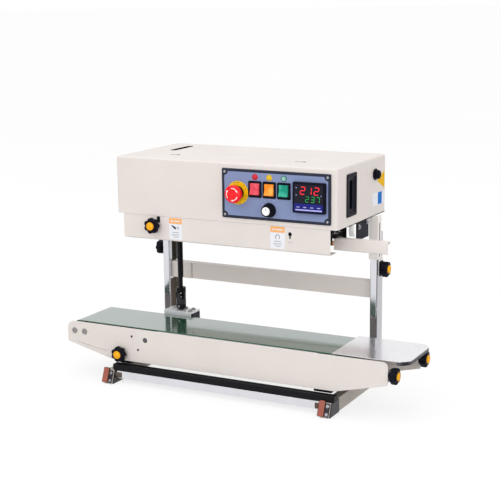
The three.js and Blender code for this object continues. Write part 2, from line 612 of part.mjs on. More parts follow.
function buildConveyor() {
  const { yFront, yRear, sheet } = CONVEYOR;
  const knobX = CONVEYOR_KNOB.x;
  const knobZ = CONVEYOR_KNOB.z;
  const knobHole = bar("y", KNOB.stud + PLAY, knobX, knobZ, yFront - OVERRUN, yFront + OVERRUN, COARSE);
  const frontLug = sidePlate("front_side_plate", FRONT_PLATE, yFront, 1, [knobHole]);
  const rearLug = sidePlate("rear_side_plate", REAR_PLATE, yRear - sheet, -1, []);
  knobPart("front_end_knob", "+x", FRONT_PLATE.x1 + GAP, frontLug, FRONT_PLATE.knobZ, STUD.end);
  knobPart("rear_end_knob", "+x", REAR_PLATE.x1 + GAP, rearLug, REAR_PLATE.knobZ, STUD.end);

  const y0 = yFront + sheet + GAP;
  const y1 = yRear - sheet - GAP;
  const runTop = ROLLER.z + BELT_INNER;
  const bedTop = runTop - SLIDER_BED.drop;
  const bed = box(SLIDER_BED.x0, SLIDER_BED.x1, y0, y1, bedTop - SLIDER_BED.depth, bedTop);
  part("slider_bed", bed, STEEL);
  CARRIER.xs.forEach((x, i) => {
    const half = CARRIER.width / 2;
    const block = box(x - half, x + half, y0, y1, CARRIER.z0, CARRIER.z1);
    const bore = bar("y", KNOB.stud + PLAY, knobX, knobZ, y0 - OVERRUN, y0 + STUD.conveyor, COARSE);
    part(i === 0 ? "left_carrier" : "right_carrier", i === 0 ? cut(block, bore) : block, DARK_STEEL);
  });
  knobPart("conveyor_knob", "-y", knobX, yFront - GAP, knobZ, STUD.conveyor);

  const belt = loop(ROLLER.leftX, ROLLER.rightX, ROLLER.z, BELT_INNER, BELT.thickness);
  part("conveyor_belt", slabXZ(belt, BELT.y0, BELT.y1, 12), BELT_GREEN);
  roller("left_roller", ROLLER.leftX, false);
  roller("right_roller", ROLLER.rightX, false);
  roller("drive_drum", ROLLER.drumX, true);

  buildBracket(yRear + GAP);
}

// A chrome angle on the back of the rear side plate, which holds the bevel drive.
function buildBracket(wallY) {
  const { x0, x1, z0, z1, sheet, backX1, topY, cheekY, cheekZ } = BRACKET;
  const back = box(x0, backX1, wallY, wallY + sheet, z0, z1);
  const top = box(x0, x1, wallY, topY, z1 - sheet, z1);
  const cheek = box(x0, x0 + sheet, wallY, cheekY, cheekZ, z1);
  const holes = [
    bar("y", ROLLER.axle + PLAY, ROLLER.drumX, ROLLER.z, wallY - OVERRUN, wallY + sheet + OVERRUN),
    bar("z", BEVEL.stem + PLAY, SHAFT.x, SHAFT.y, z1 - sheet - OVERRUN, z1 + OVERRUN),
  ];
  part("gearbox_bracket", cut(join(back, top, cheek), ...holes), CHROME);
}

function buildTray() {
  const { x0, x1, y0, y1, z, sheet, corner, rim } = TRAY;
  const outline = (inset) => {
    const r = corner - inset;
    const shape = new THREE.Shape();
    shape.moveTo(x0, y0 + inset);
    shape.lineTo(x1 - inset - r, y0 + inset);
    shape.absarc(x1 - inset - r, y0 + inset + r, r, -Math.PI / 2, 0);
    shape.lineTo(x1 - inset, y1 - inset - r);
    shape.absarc(x1 - inset - r, y1 - inset - r, r, 0, Math.PI / 2);
    shape.lineTo(x0, y1 - inset);
    shape.closePath();
    return shape;
  };
  const top = slabXY(outline(0), z, z + sheet, 6);
  const skirt = cut(
    slabXY(outline(0), z + sheet - rim, z + sheet, 6),
    slabXY(outline(sheet), z - rim, z, 6),
    box(x0 - OVERRUN, REAR_PLATE.x1 + 2, y0 - OVERRUN, y1 + OVERRUN, z - rim - OVERRUN, z),
  );
  part("infeed_tray", join(top, skirt), STEEL);
}

// ---------------------------------------------------------------- assembly
buildBase();
buildHeadShell();
buildSleeve("left_sleeve", POST.xs[0], -1);
buildSleeve("right_sleeve", POST.xs[1], 1);
const sleeveSide = SLEEVE.width / 2 + GAP;
knobPart("left_post_knob", "-x", POST.xs[0] - sleeveSide, POST_KNOB.y, POST_KNOB.z, STUD.post);
knobPart("right_post_knob", "+x", POST.xs[1] + sleeveSide, POST_KNOB.y, POST_KNOB.z, STUD.post);
buildGuard();
knobPart("emboss_knob", "-y", EMBOSS_KNOB.x, HEAD.y0 + GUARD.inset - GAP, EMBOSS_KNOB.z, STUD.emboss);
buildHeadTrim();
buildPanel();
buildWheels();
buildGearMotor();
buildDriveShaft();
buildConveyor();
buildTray();

machine.position.x = -(FRONT_PLATE.x0 + TRAY.x1) / 2;

export default machine;
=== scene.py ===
"""The looks of a bench-top continuous band sealer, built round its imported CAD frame.

The frame has +X towards the infeed end, +Y to the rear and +Z up. Places and shapes are in
millimetres, worked out from the CAD nodes' boxes, and a shape is scaled to metres when it becomes a
mesh. Depths of textures are in millimetres too. Texture scales, the lights and the camera are in metres.
"""

import json
import math

import bmesh
import bpy
from mathutils import Matrix, Vector


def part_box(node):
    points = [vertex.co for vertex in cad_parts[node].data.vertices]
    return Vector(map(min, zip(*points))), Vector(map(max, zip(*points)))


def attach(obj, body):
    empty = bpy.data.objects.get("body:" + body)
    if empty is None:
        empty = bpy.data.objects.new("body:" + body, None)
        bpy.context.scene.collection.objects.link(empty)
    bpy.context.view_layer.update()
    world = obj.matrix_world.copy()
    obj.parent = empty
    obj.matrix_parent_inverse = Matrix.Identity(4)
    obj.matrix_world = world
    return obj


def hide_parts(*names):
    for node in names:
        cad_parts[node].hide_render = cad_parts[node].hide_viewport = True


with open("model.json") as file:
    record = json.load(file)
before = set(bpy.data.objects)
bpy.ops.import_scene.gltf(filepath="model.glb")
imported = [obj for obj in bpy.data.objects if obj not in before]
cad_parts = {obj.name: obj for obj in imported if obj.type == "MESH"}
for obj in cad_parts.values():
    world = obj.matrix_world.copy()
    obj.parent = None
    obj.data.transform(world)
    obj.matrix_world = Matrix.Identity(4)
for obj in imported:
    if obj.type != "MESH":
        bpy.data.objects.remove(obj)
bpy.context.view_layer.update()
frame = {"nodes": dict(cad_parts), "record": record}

MM = 0.001
RIGHT, BACK, UP = Vector((1, 0, 0)), Vector((0, 1, 0)), Vector((0, 0, 1))
LEFT, FRONT = -RIGHT, -BACK


# ------------------------------------------------------------------ places
class Place:
    """The box of a CAD node in millimetres, with its centre and size."""

    def __init__(self, node):
        self.low, self.high = (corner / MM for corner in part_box(node))
        self.mid = (self.low + self.high) / 2
        self.size = self.high - self.low


HEAD = Place("head_cover")
PANEL = Place("control_panel")
GUARD = Place("front_guard")
METER = Place("temperature_controller")
FRONT_PLATE = Place("front_side_plate")
BELT = Place("conveyor_belt")
BRACKET = Place("gearbox_bracket")
BODY_OF = {node: body for body, nodes in frame["record"]["behaviour"]["bodies"].items() for node in nodes}
SLOT_OF = {part["node"]: part["material_slot"] for part in frame["record"]["subparts"]}


# ------------------------------------------------------------------ materials
FLAG_HEADING = -27.0  # degrees from +X to the middle of the dark flag


class Graph:
    """Short ways to build shader nodes in a node tree."""

    def __init__(self, tree):
        self.tree = tree

    def add(self, kind, inputs=None, **settings):
        node = self.tree.nodes.new("ShaderNode" + kind)
        for key, value in settings.items():
            setattr(node, key, value)
        for key, value in (inputs or {}).items():
            self.feed(node.inputs[key], value)
        return node

    def feed(self, socket, value):
        if isinstance(value, bpy.types.NodeSocket):
            self.tree.links.new(value, socket)
        else:
            socket.default_value = value

    def spread(self, value, low, high, start=0.3, end=0.7):
        inputs = {"Value": value, "From Min": start, "From Max": end, "To Min": low, "To Max": high}
        return self.add("MapRange", inputs).outputs["Result"]

    def math(self, operation, a, b=0.5):
        node = self.add("Math", operation=operation)
        self.feed(node.inputs[0], a)
        self.feed(node.inputs[1], b)
        return node.outputs[0]

    def blend(self, share, a, b):
        node = self.add("Mix", data_type="RGBA")
        self.feed(node.inputs[0], share)
        self.feed(node.inputs[6], a)
        self.feed(node.inputs[7], b)
        return node.outputs[2]

    def studio_tone(self, direction):
        """How bright the studio looks along a direction: a pale sweep, a dark room behind the camera
        and a narrow dark flag to the right, for the mirror-like parts to show."""
        part = self.add("SeparateXYZ", {0: direction}).outputs
        heading = self.math("MULTIPLY", self.math("ARCTAN2", part["Y"], part["X"]), 180 / math.pi)
        aside = self.math("ABSOLUTE", self.math("ADD", heading, -FLAG_HEADING))
        flag = self.spread(aside, 1.0, 0.0, 30.0, 46.0)
        ahead = self.spread(part["Y"], 0.0, 1.0, -0.05, -0.35)
        above = self.spread(part["Z"], 0.0, 1.0, 0.0, 0.02)
        low = self.spread(part["Z"], 1.0, 0.0, 0.35, 0.6)
        room = self.math("MULTIPLY", self.math("MULTIPLY", ahead, above), low)
        side = self.spread(part["X"], 1.0, 0.72, -0.2, 0.45)
        tone = self.math("MULTIPLY", side, self.spread(flag, 1.0, 0.07, 0.0, 1.0))
        return self.math("MULTIPLY", tone, self.spread(room, 1.0, 0.10, 0.0, 1.0))


class Look(Graph):
    """A procedural material. Its textures use places in the frame, in metres."""

    def __init__(self, name):
        self.material = bpy.data.materials.new(name)
        self.material.use_nodes = True
        super().__init__(self.material.node_tree)
        self.surface = self.tree.nodes["Principled BSDF"]
        self.place = self.add("TexCoord").outputs["Object"]
        self.height = None

    def stretched(self, scale):
        return self.add("Mapping", {"Vector": self.place, "Scale": scale}).outputs["Vector"]

    def noise(self, scale, detail=3.0, vector=None):
        inputs = {"Vector": vector or self.place, "Scale": scale, "Detail": detail}
        return self.add("TexNoise", inputs).outputs["Fac"]

    def mottled(self, pattern, color, low, high):
        """The colour, darker and lighter with a pattern."""
        return self.blend(self.spread(pattern, 0.0, 1.0), shade(color, low), shade(color, high))

    def bump(self, height, depth):
        inputs = {"Height": height, "Distance": depth * MM, "Strength": 1.0}
        if self.height is not None:
            inputs["Normal"] = self.height
        self.height = self.add("Bump", inputs).outputs["Normal"]

    def edge_mask(self, radius):
        """1 on worn edges, 0 on flat faces."""
        bevel = self.add("Bevel", {"Radius": radius * MM}, samples=4).outputs["Normal"]
        normal = self.add("NewGeometry").outputs["Normal"]
        dot = self.add("VectorMath", operation="DOT_PRODUCT")
        self.feed(dot.inputs[0], bevel)
        self.feed(dot.inputs[1], normal)
        return self.spread(dot.outputs["Value"], 1.0, 0.0, 0.86, 0.99)

    def finish(self, **values):
        for key, value in values.items():
            self.feed(self.surface.inputs[key.replace("_", " ")], value)
        if self.height is not None:
            self.feed(self.surface.inputs["Normal"], self.height)
        return self.material


def shade(color, factor):
    """The colour made lighter or darker, with a full alpha."""
    return tuple(min(1.0, c * factor) for c in color[:3]) + (1.0,)


def painted(name, color, roughness=0.42, grain=900, depth=0.05, sheen=0.4, wear=None):
    """Powder coat: an orange-peel surface, faint cloudiness and slightly rubbed edges."""
    look = Look(name)
    base = look.mottled(look.noise(7, 4), color, 0.965, 1.02)
    speck = look.spread(look.noise(grain * 2.5, 1), 0.0, 0.10, 0.55, 0.75)
    base = look.blend(speck, base, shade(color, 0.8))
    if wear:
        rubbed = look.math("MULTIPLY", look.edge_mask(1.2), look.spread(look.noise(60, 5), 0.0, 0.7))
        base = look.blend(rubbed, base, wear)
    # Rear faces get little light in the photo's room, so they look dim in the mirror-like posts.
    mirrored = look.add("LightPath").outputs["Is Glossy Ray"]
    rearward = look.add("SeparateXYZ", {0: look.add("NewGeometry").outputs["Normal"]}).outputs["Y"]
    base = look.blend(look.math("MULTIPLY", mirrored, look.spread(rearward, 0.0, 0.8)), base, DIM)
    look.bump(look.noise(grain, 2), depth)
    rough = look.spread(look.noise(35, 4), roughness - 0.05, roughness + 0.06)
    return look.finish(Base_Color=base, Roughness=rough, Specular_IOR_Level=sheen)


def plated(name, color, roughness=0.08):
    """Chrome plate, with faint polishing lines, smears and a slight waviness."""
    look = Look(name)
    smear = look.noise(18, 5, look.stretched((1, 1, 0.25)))
    base = look.mottled(smear, color, 0.93, 1.0)
    lines = look.noise(900, 2, look.stretched((1, 1, 0.02)))
    look.bump(look.noise(14, 2), 0.12)
    look.bump(lines, 0.002)
    rough = look.spread(smear, roughness, roughness + 0.1)
    return look.finish(Base_Color=base, Metallic=1.0, Roughness=rough)


def brushed(name, color, roughness=0.3, stretch=(0.03, 1, 1), depth=0.01, tint=0.12, metal=1.0):
    """Bare metal with brush marks along one direction."""
    look = Look(name)
    lines = look.noise(1100, 3, look.stretched(stretch))
    stain = look.spread(look.noise(16, 5), 0.0, 1.0)
    base = look.mottled(lines, color, 1 - tint, 1 + tint / 2)
    base = look.blend(look.math("MULTIPLY", stain, 0.25), base, shade(color, 0.8))
    look.bump(lines, depth)
    rough = look.spread(lines, roughness - 0.06, roughness + 0.1)
    return look.finish(Base_Color=base, Metallic=metal, Roughness=rough)


def moulded(name, color, roughness=0.35, grain=1600, depth=0.03, sheen=0.12, **extra):
    """Injection-moulded plastic with a fine spark-eroded texture."""
    look = Look(name)
    base = look.mottled(look.noise(40, 4), color, 0.88, 1.1)
    look.bump(look.noise(grain, 2), depth)
    rough = look.spread(look.noise(120, 4), roughness - 0.06, roughness + 0.08)
    return look.finish(Base_Color=base, Roughness=rough, Specular_IOR_Level=sheen, **extra)


def glowing(name, color, lit, strength):
    """A translucent lamp or key cap, lit unevenly from behind."""
    look = Look(name)
    cell = look.spread(look.noise(70, 2), 0.0, 1.0, 0.35, 0.65)
    base = look.blend(cell, color, lit)
    look.bump(look.noise(700, 2), 0.02)
    look.finish(Base_Color=base, Roughness=0.25, Specular_IOR_Level=0.2)
    return look.finish(Emission_Color=base, Emission_Strength=strength)


def printed(name, color, roughness=0.4, gloss=0.05):
    """Ink or vinyl with a slight print grain."""
    look = Look(name)
    base = look.mottled(look.noise(2600, 2), color, 0.95, 1.03)
    look.bump(look.noise(500, 2), 0.01)
    return look.finish(Base_Color=base, Roughness=roughness, Specular_IOR_Level=gloss)


def belting(name):
    """Glossy green belting: a deep green body under a clear face that mirrors at low angles."""
    look = Look(name)
    cloud = look.spread(look.noise(25, 5), 0, 1)
    body = look.blend(cloud, (0.003, 0.085, 0.032, 1), (0.007, 0.110, 0.045, 1))
    scuff = look.spread(look.noise(30, 6, look.stretched((0.15, 2, 1))), 0.06, 0.14)
    look.bump(look.noise(1500, 2), 0.006)
    look.finish(Base_Color=body, Roughness=0.35, Specular_IOR_Level=0.1)
    face = {"Color": (0.745, 0.755, 0.76, 1), "Roughness": scuff, "Normal": look.height}
    mirror = look.add("BsdfAnisotropic", face)
    facing = look.add("LayerWeight", {"Blend": 0.5, "Normal": look.height}).outputs["Facing"]
    share = look.spread(look.math("POWER", facing, 1.7), 0.03, 0.97, 0.0, 1.0)
    mix = look.add("MixShader", {0: share})
    look.feed(mix.inputs[1], look.surface.outputs[0])
    look.feed(mix.inputs[2], mirror.outputs[0])
    look.feed(look.tree.nodes["Material Output"].inputs["Surface"], mix.outputs[0])
    return look.material


def woven(name, color, pitch=0.7):
    """Coated glass cloth: a plain weave under a thin brown coating."""
    look = Look(name)
    threads = {"Vector": look.place, "Scale": 0.5 / (pitch * MM) / 3}
    across = look.add("TexWave", threads, bands_direction="Z")
    along = look.add("TexWave", threads, bands_direction="X")
    weave = look.math("MULTIPLY", across.outputs["Fac"], along.outputs["Fac"])
    worn = look.spread(look.noise(45, 5), 0, 1)
    base = look.blend(weave, shade(color, 0.75), shade(color, 1.15))
    base = look.blend(look.math("MULTIPLY", worn, 0.35), base, shade(color, 0.5))
    look.bump(weave, 0.05)
    return look.finish(Base_Color=base, Roughness=0.5, Coat_Weight=0.3)


DIM = (0.06, 0.05, 0.045, 1)
CREAM = painted("cream_powder_coat", (0.765, 0.705, 0.672), wear=(0.86, 0.82, 0.79, 1))
CHROME = plated("chrome_plate", (0.83, 0.83, 0.875))
BLACK_STEEL = painted("black_enamel", (0.006, 0.006, 0.008), 0.3, 700, 0.03, 0.15, (0.04, 0.04, 0.045, 1))
STEEL = brushed("brushed_steel", (0.66, 0.66, 0.69))
TRAY_STEEL = brushed("tray_steel", (0.88, 0.86, 0.875), 0.16, (1, 0.03, 1), 0.003)
SATIN_PLATE = brushed("satin_nickel", (0.92, 0.92, 0.94), 0.3, (1, 0.05, 1), metal=0.45)
# A dark steel; on the tray's skirt it is painted shade.
SHADED_STEEL = brushed("shaded_steel", (0.15, 0.15, 0.17), 0.4, (1, 0.03, 1))
ALUMINIUM = brushed("turned_aluminium", (0.72, 0.73, 0.75), 0.32, (1, 1, 0.04))
COPPER = brushed("copper_block", (0.62, 0.30, 0.17), 0.3)
BLACK = moulded("black_moulding", (0.007, 0.007, 0.014), 0.32, sheen=0.07)
DARK_GREY = moulded("dark_grey_moulding", (0.030, 0.032, 0.045), 0.4)
RUBBER = moulded("black_rubber", (0.008, 0.008, 0.009), 0.68, 900, 0.08)
BROWN_RUBBER = moulded("brown_rubber", (0.36, 0.115, 0.085), 0.62, 700, 0.1)
OLIVE = moulded("olive_painted_reflection", (0.042, 0.038, 0.026), 0.5, 700, 0.05)
UMBER = moulded("umber_reflection_and_mount", (0.115, 0.088, 0.070), 0.45, 700, 0.05)
AMBER = moulded("amber_cap", (0.98, 0.43, 0.012), 0.35, sheen=0.2)
RED = moulded("red_mushroom", (0.93, 0.008, 0.014), 0.25, 500, 0.01, sheen=0.35)
YELLOW = moulded("yellow_plate", (0.94, 0.56, 0.006), 0.38)
WHITE = moulded("white_plastic", (0.95, 0.95, 0.96), 0.35)
BELTING = belting("green_belting")
BAND = woven("sealing_band", (0.42, 0.26, 0.13))
PANEL_FIELD = printed("periwinkle_overlay", (0.238, 0.292, 0.49), 0.38)
PANEL_EDGE = moulded("panel_border", (0.030, 0.034, 0.056), 0.4, 2200, 0.015)
RED_KEY = glowing("red_key", (0.60, 0.030, 0.060, 1), (0.78, 0.10, 0.14, 1), 0.1)
ORANGE_KEY = glowing("orange_key", (0.86, 0.24, 0.012, 1), (0.96, 0.42, 0.08, 1), 0.12)
GREEN_KEY = glowing("green_key", (0.008, 0.28, 0.18, 1), (0.05, 0.46, 0.32, 1), 0.08)
RED_LAMP = glowing("red_lamp", (0.48, 0.010, 0.022, 1), (0.62, 0.03, 0.045, 1), 0.08)
YELLOW_LAMP = glowing("yellow_lamp", (0.68, 0.42, 0.012, 1), (0.84, 0.58, 0.06, 1), 0.08)
GREEN_LAMP = glowing("green_lamp", (0.015, 0.16, 0.07, 1), (0.08, 0.32, 0.18, 1), 0.06)
LAMP_CENTRE = glowing("pale_green_lens", (0.22, 0.45, 0.42, 1), (0.42, 0.62, 0.58, 1), 0.1)
RED_DIGIT = glowing("red_digit", (0.75, 0.008, 0.020, 1), (0.90, 0.03, 0.05, 1), 0.6)
GREEN_DIGIT = glowing("green_digit", (0.008, 0.28, 0.05, 1), (0.02, 0.40, 0.10, 1), 0.4)
SCREEN = printed("dark_screen", (0.006, 0.006, 0.016), 0.2, 0.25)
NAVY_KEYS = printed("navy_key_strip", (0.022, 0.026, 0.22), 0.3)
PALE_INK = printed("pale_ink", (0.50, 0.50, 0.86), 0.4)
WHITE_VINYL = printed("white_vinyl", (0.82, 0.83, 0.88), 0.35)
ORANGE_INK = printed("orange_ink", (0.93, 0.47, 0.19), 0.4)
DARK_INK = printed("dark_ink", (0.06, 0.065, 0.08), 0.45)
GREY_INK = printed("grey_ink", (0.36, 0.37, 0.42), 0.45)
BLUE_INK = printed("blue_ink", (0.004, 0.16, 0.58), 0.35)
YELLOW_VINYL = printed("yellow_vinyl", (0.84, 0.47, 0.006), 0.35)
VOID = printed("dark_opening", (0.003, 0.003, 0.004), 0.9, 0.0)
ZINC = brushed("dull_zinc", (0.42, 0.40, 0.40), 0.35, metal=0.7)
OXIDE = moulded("oxide_steel", (0.022, 0.020, 0.026), 0.3, sheen=0.5)
# A lighter copy of the cream for the sleeves: painted light, to make up for the shade they stand in.
LIT_SLEEVE_CREAM = painted("sleeve_cream_painted_light", (0.90, 0.85, 0.82))
# A darker copy of the cream: painted shade on the feet and under the pressed lip, and the colour of the
# crossbar's joint line.
SHADE_AND_JOINT_CREAM = painted("cream_shade_and_joint_coat", (0.52, 0.47, 0.42), wear=(0.62, 0.58, 0.53, 1))

SLOT_LOOKS = {
    "cream_paint": CREAM, "chrome": CHROME, "black_steel": BLACK_STEEL, "steel": STEEL,
    "aluminium": ALUMINIUM, "copper": COPPER, "black_plastic": BLACK, "belt": BELTING, "band": BAND,
    "panel": PANEL_EDGE, "red_plastic": RED, "orange_plastic": ORANGE_KEY, "green_plastic": GREEN_KEY,
    "yellow_plastic": YELLOW, "rubber": RUBBER,
}

# The slot of the record that goes with a look's pieces, unless a piece names its own. Pieces look it up, but
# nothing gives it to them.
SLOT_BY_LOOK = {look.name: slot for slot, look in SLOT_LOOKS.items() if look != RUBBER}
SLOT_BY_LOOK.update({
    PANEL_FIELD.name: "panel", SHADED_STEEL.name: "steel", ZINC.name: "steel",
    AMBER.name: "yellow_plastic", RED_KEY.name: "red_plastic",
})


# ------------------------------------------------------------------ outlines
def rounded(x0, x1, y0, y1, r, steps=4):
    """Points of a rectangle with round corners."""
    left, right, low, high = x0 + r, x1 - r, y0 + r, y1 - r
    points = []
    for cx, cy, start in ((right, low, -90), (right, high, 0), (left, high, 90), (left, low, 180)):
        points += arc(cx, cy, r, start, start + 90, steps)
    return points


def arc(cx, cy, r, start, end, steps):
    """Points along an arc, in degrees."""
    angles = [math.radians(start + (end - start) * i / steps) for i in range(steps + 1)]
    return [(cx + r * math.cos(a), cy + r * math.sin(a)) for a in angles]


def band_arc(cx, cy, outer, inner, start, end, steps):
    """The outline of a curved strip between two radii."""
    return arc(cx, cy, outer, start, end, steps) + arc(cx, cy, inner, end, start, steps)


def shrunk(outline, by):
    """The outline drawn in by about the given distance."""
    middle = sum((Vector(p) for p in outline), Vector((0, 0))) / len(outline)
    away = [Vector(p) - middle for p in outline]
    return [tuple(middle + Vector([c - math.copysign(min(abs(c), by), c) for c in a])) for a in away]


def lobes(count, depth, sharp=1.0):
    """A radius factor with rounded lobes."""
    return lambda angle: 1 - depth * (1 - abs(math.cos(count * angle / 2)) ** sharp)


def hexagon(angle):
    """A radius factor for a hexagon round the circle."""
    return 1 / math.cos((angle + math.pi / 6) % (math.pi / 3) - math.pi / 6)


def lift(point, normal, depth):
    """A point of a flat drawing, at a depth along the drawing's normal axis."""
    return {"x": (depth, *point), "y": (point[0], depth, point[-1]), "z": (*point, depth)}[normal]


# ------------------------------------------------------------------ mesh making
class Shape:
    """A mesh that is built in millimetres, solid by solid, and then made a piece."""

    def __init__(self):
        self.bm = bmesh.new()

    def loft(self, rings, closed=False):
        """Joins rings of points in turn, and fills the ends unless the last ring meets the first."""
        loops = [[self.bm.verts.new(point) for point in ring] for ring in rings]
        for a, b in zip(loops, loops[1:] + (loops[:1] if closed else [])):
            count = max(len(a), len(b))
            for i in range(count):
                j = (i + 1) % count
                corners = [a[i % len(a)], a[j % len(a)], b[j % len(b)], b[i % len(b)]]
                unique = list(dict.fromkeys(corners))
                if len(unique) > 2:
                    self.bm.faces.new(unique)
        for end in () if closed else (loops[0], loops[-1]):
            if len(end) > 2:
                self.bm.faces.new(end)
        return self

    def turned(self, rings, at, axis, steps=48, closed=False):
        """Rings stacked along an axis. A ring is (radius, height), with an optional form(angle)."""
        basis = axis.normalized().to_track_quat("Z", "Y").to_matrix()
        loops = []
        for radius, height, *form in rings:
            loop = []
            for i in range(steps if radius else 1):
                angle = 2 * math.pi * i / steps
                r = radius * (form[0](angle) if form else 1)
                loop.append(Vector(at) + basis @ Vector((r * math.cos(angle), r * math.sin(angle), height)))
            loops.append(loop)
        return self.loft(loops, closed)

    def rod(self, radius, length, at, axis, steps=32):
        """A plain round bar, for cutting holes."""
        return self.turned([(0, 0), (radius, 0), (radius, length), (0, length)], at, axis, steps)

    def block(self, low, high):
        """A box between two corners."""
        middle, size = (Vector(low) + Vector(high)) / 2, Vector(high) - Vector(low)
        for v in bmesh.ops.create_cube(self.bm, size=1)["verts"]:
            v.co = middle + Vector(c * s for c, s in zip(v.co, size))
        return self

    def slab(self, outline, normal, low, high):
        """An outline made thick along an axis: drawn in X, Z for normal y; in Y, Z for x; in X, Y for z."""
        return self.loft([[lift(p, normal, d) for p in outline] for d in (low, high)])

    def tile(self, normal, x0, x1, y0, y1, low, high, r):
        """A plate with round corners across an axis."""
        return self.slab(rounded(x0, x1, y0, y1, r), normal, low, high)

    def wire(self, path, radius, steps=8):
        """A round bar along a path of points."""
        path, rings, side = [Vector(p) for p in path], [], None
        for i, point in enumerate(path):
            ahead = (path[min(i + 1, len(path) - 1)] - path[max(i - 1, 0)]).normalized()
            side = side or ahead.orthogonal()
            side = (side - ahead * side.dot(ahead)).normalized()
            around = arc(0, 0, radius, 0, 360, steps)[:-1]
            rings.append([point + c * side + s * ahead.cross(side) for c, s in around])
        return self.loft(rings)

    def folded(self, section, x0, x1, thickness):
        """A sheet bent along a section of (y, z) points, running along X, thick on the left of its path."""
        points = [Vector(p) for p in section]
        inner = []
        for i, point in enumerate(points):
            ahead = (points[min(i + 1, len(points) - 1)] - points[max(i - 1, 0)]).normalized()
            inner.append(point + Vector((-ahead.y, ahead.x)) * thickness)
        return self.slab([tuple(p) for p in points + inner[::-1]], "x", x0, x1)

    def belt(self, x0, x1, centre, radius, thickness, low, high, normal, edge=0.6, steps=40):
        """A closed belt round two centres, with rounded edges. Its path lies in the plane across normal."""
        section = [
            (0, low + edge), (0, high - edge), (0.4 * edge, high), (thickness - edge, high),
            (thickness, high - edge), (thickness, low + edge), (thickness - edge, low), (0.4 * edge, low),
        ]
        rings = []
        for cx, start in ((x1, -90), (x0, 90)):
            for c, s in arc(0, 0, 1, start, start + 180, steps):
                ring = [((cx + c * (radius + out), centre + s * (radius + out)), d) for out, d in section]
                rings.append([lift(p, normal, d) for p, d in ring])
        return self.loft(rings, closed=True)

    def cap_screw(self, at, axis, radius=3, height=2):
        """A round-headed screw with a hexagonal socket, and a flat washer under it."""
        return self.turned([
            (0, 0), (radius * 1.45, 0), (radius * 1.5, 0.1 * height), (radius * 1.5, 0.3 * height),
            (radius, 0.3 * height), (radius, 0.8 * height), (radius * 0.82, height),
            (radius * 0.55, height, hexagon), (radius * 0.5, 0.45 * height, hexagon), (0, 0.4 * height),
        ], at, axis, 24)

    def hex_bolt(self, at, axis, radius=5, height=3.5):
        """A hexagon bolt head with a chamfered crown on a washer."""
        washer = 0.25 * height
        return self.turned([
            (0, 0), (radius * 1.35, 0), (radius * 1.4, 0.3 * washer), (radius * 1.4, washer),
            (radius, washer, hexagon), (radius, 0.85 * height, hexagon),
            (radius * 0.84, height), (0, height),
        ], at, axis, 36)

    def pan_screw(self, at, axis, radius=2.4):
        """A small domed screw with a driver recess."""
        def cross(angle):
            return 1.0 if abs(math.sin(2 * angle)) < 0.5 else 0.42

        return self.turned([
            (0, 0), (radius, 0), (radius, 0.25 * radius), (radius * 0.85, 0.5 * radius),
            (radius * 0.62, 0.6 * radius), (radius * 0.55, 0.6 * radius, cross),
            (radius * 0.45, 0.2 * radius, cross), (0, 0.15 * radius),
        ], at, axis, 24)

    def mesh(self, name):
        """The shape as an object in metres."""
        bmesh.ops.recalc_face_normals(self.bm, faces=self.bm.faces)
        bmesh.ops.scale(self.bm, vec=(MM, MM, MM), verts=self.bm.verts)
        mesh = bpy.data.meshes.new(name)
        self.bm.to_mesh(mesh)
        self.bm.free()
        obj = bpy.data.objects.new(name, mesh)
        bpy.context.scene.collection.objects.link(obj)
        return obj

    def piece(self, name, look, body="head", bevel=0, replaces=None, flat=30, slot=None):
        """Makes the shape a visible piece, which rides on a body and may stand for a CAD node.

        The slot is worked out from the look unless one is given, but the piece is not given it.
        """
        obj = self.mesh(name)
        smooth(obj, flat)
        obj.data.materials.append(look)
        if bevel:
            soften(obj, bevel)
        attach(obj, body)
        if replaces:
            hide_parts(replaces)
        slot = SLOT_BY_LOOK.get(look.name) if slot is None else slot
        return obj


def smooth(obj, flat):
    """Shades faces smooth, apart from edges sharper than an angle."""
    obj.data.shade_smooth()
    obj.data.set_sharp_from_angle(angle=math.radians(flat))


def soften(obj, bevel, segments=2):
    """Rounds an object's sharp edges by modifiers, and keeps its flat faces flat."""
    edge = obj.modifiers.new("edges", "BEVEL")
    edge.width = bevel * MM
    edge.segments = segments
    edge.limit_method = "ANGLE"
    edge.angle_limit = math.radians(38)
    edge.use_clamp_overlap = True
    normals = obj.modifiers.new("normals", "WEIGHTED_NORMAL")
    normals.keep_sharp = True


def bake(obj):
    """Applies every modifier of an object."""
    graph = bpy.context.evaluated_depsgraph_get()
    done = bpy.data.meshes.new_from_object(obj.evaluated_get(graph))
    obj.modifiers.clear()
    obj.data = done


def carve(obj, tools, bevel, segments=1, flat=35):
    """Cuts a shape out of a piece, keeps the result as its mesh and rounds its edges."""
    helper = tools.mesh("cutter")
    cut = obj.modifiers.new("cut", "BOOLEAN")
    cut.object = helper
    cut.operation = "DIFFERENCE"
    cut.solver = "EXACT"
    cut.use_self = True
    bake(obj)
    bpy.data.meshes.remove(helper.data)
    if flat:
        smooth(obj, flat)
    soften(obj, bevel, segments)


# ------------------------------------------------------------------ star knobs
KNOB_AXES = {
    "emboss_knob": FRONT, "conveyor_knob": FRONT, "left_post_knob": LEFT,
    "right_post_knob": RIGHT, "front_end_knob": RIGHT, "rear_end_knob": RIGHT,
}
KNOB_LENGTH = 25  # from its seat to the tip of its cap
STUD_HOLE = 4.4


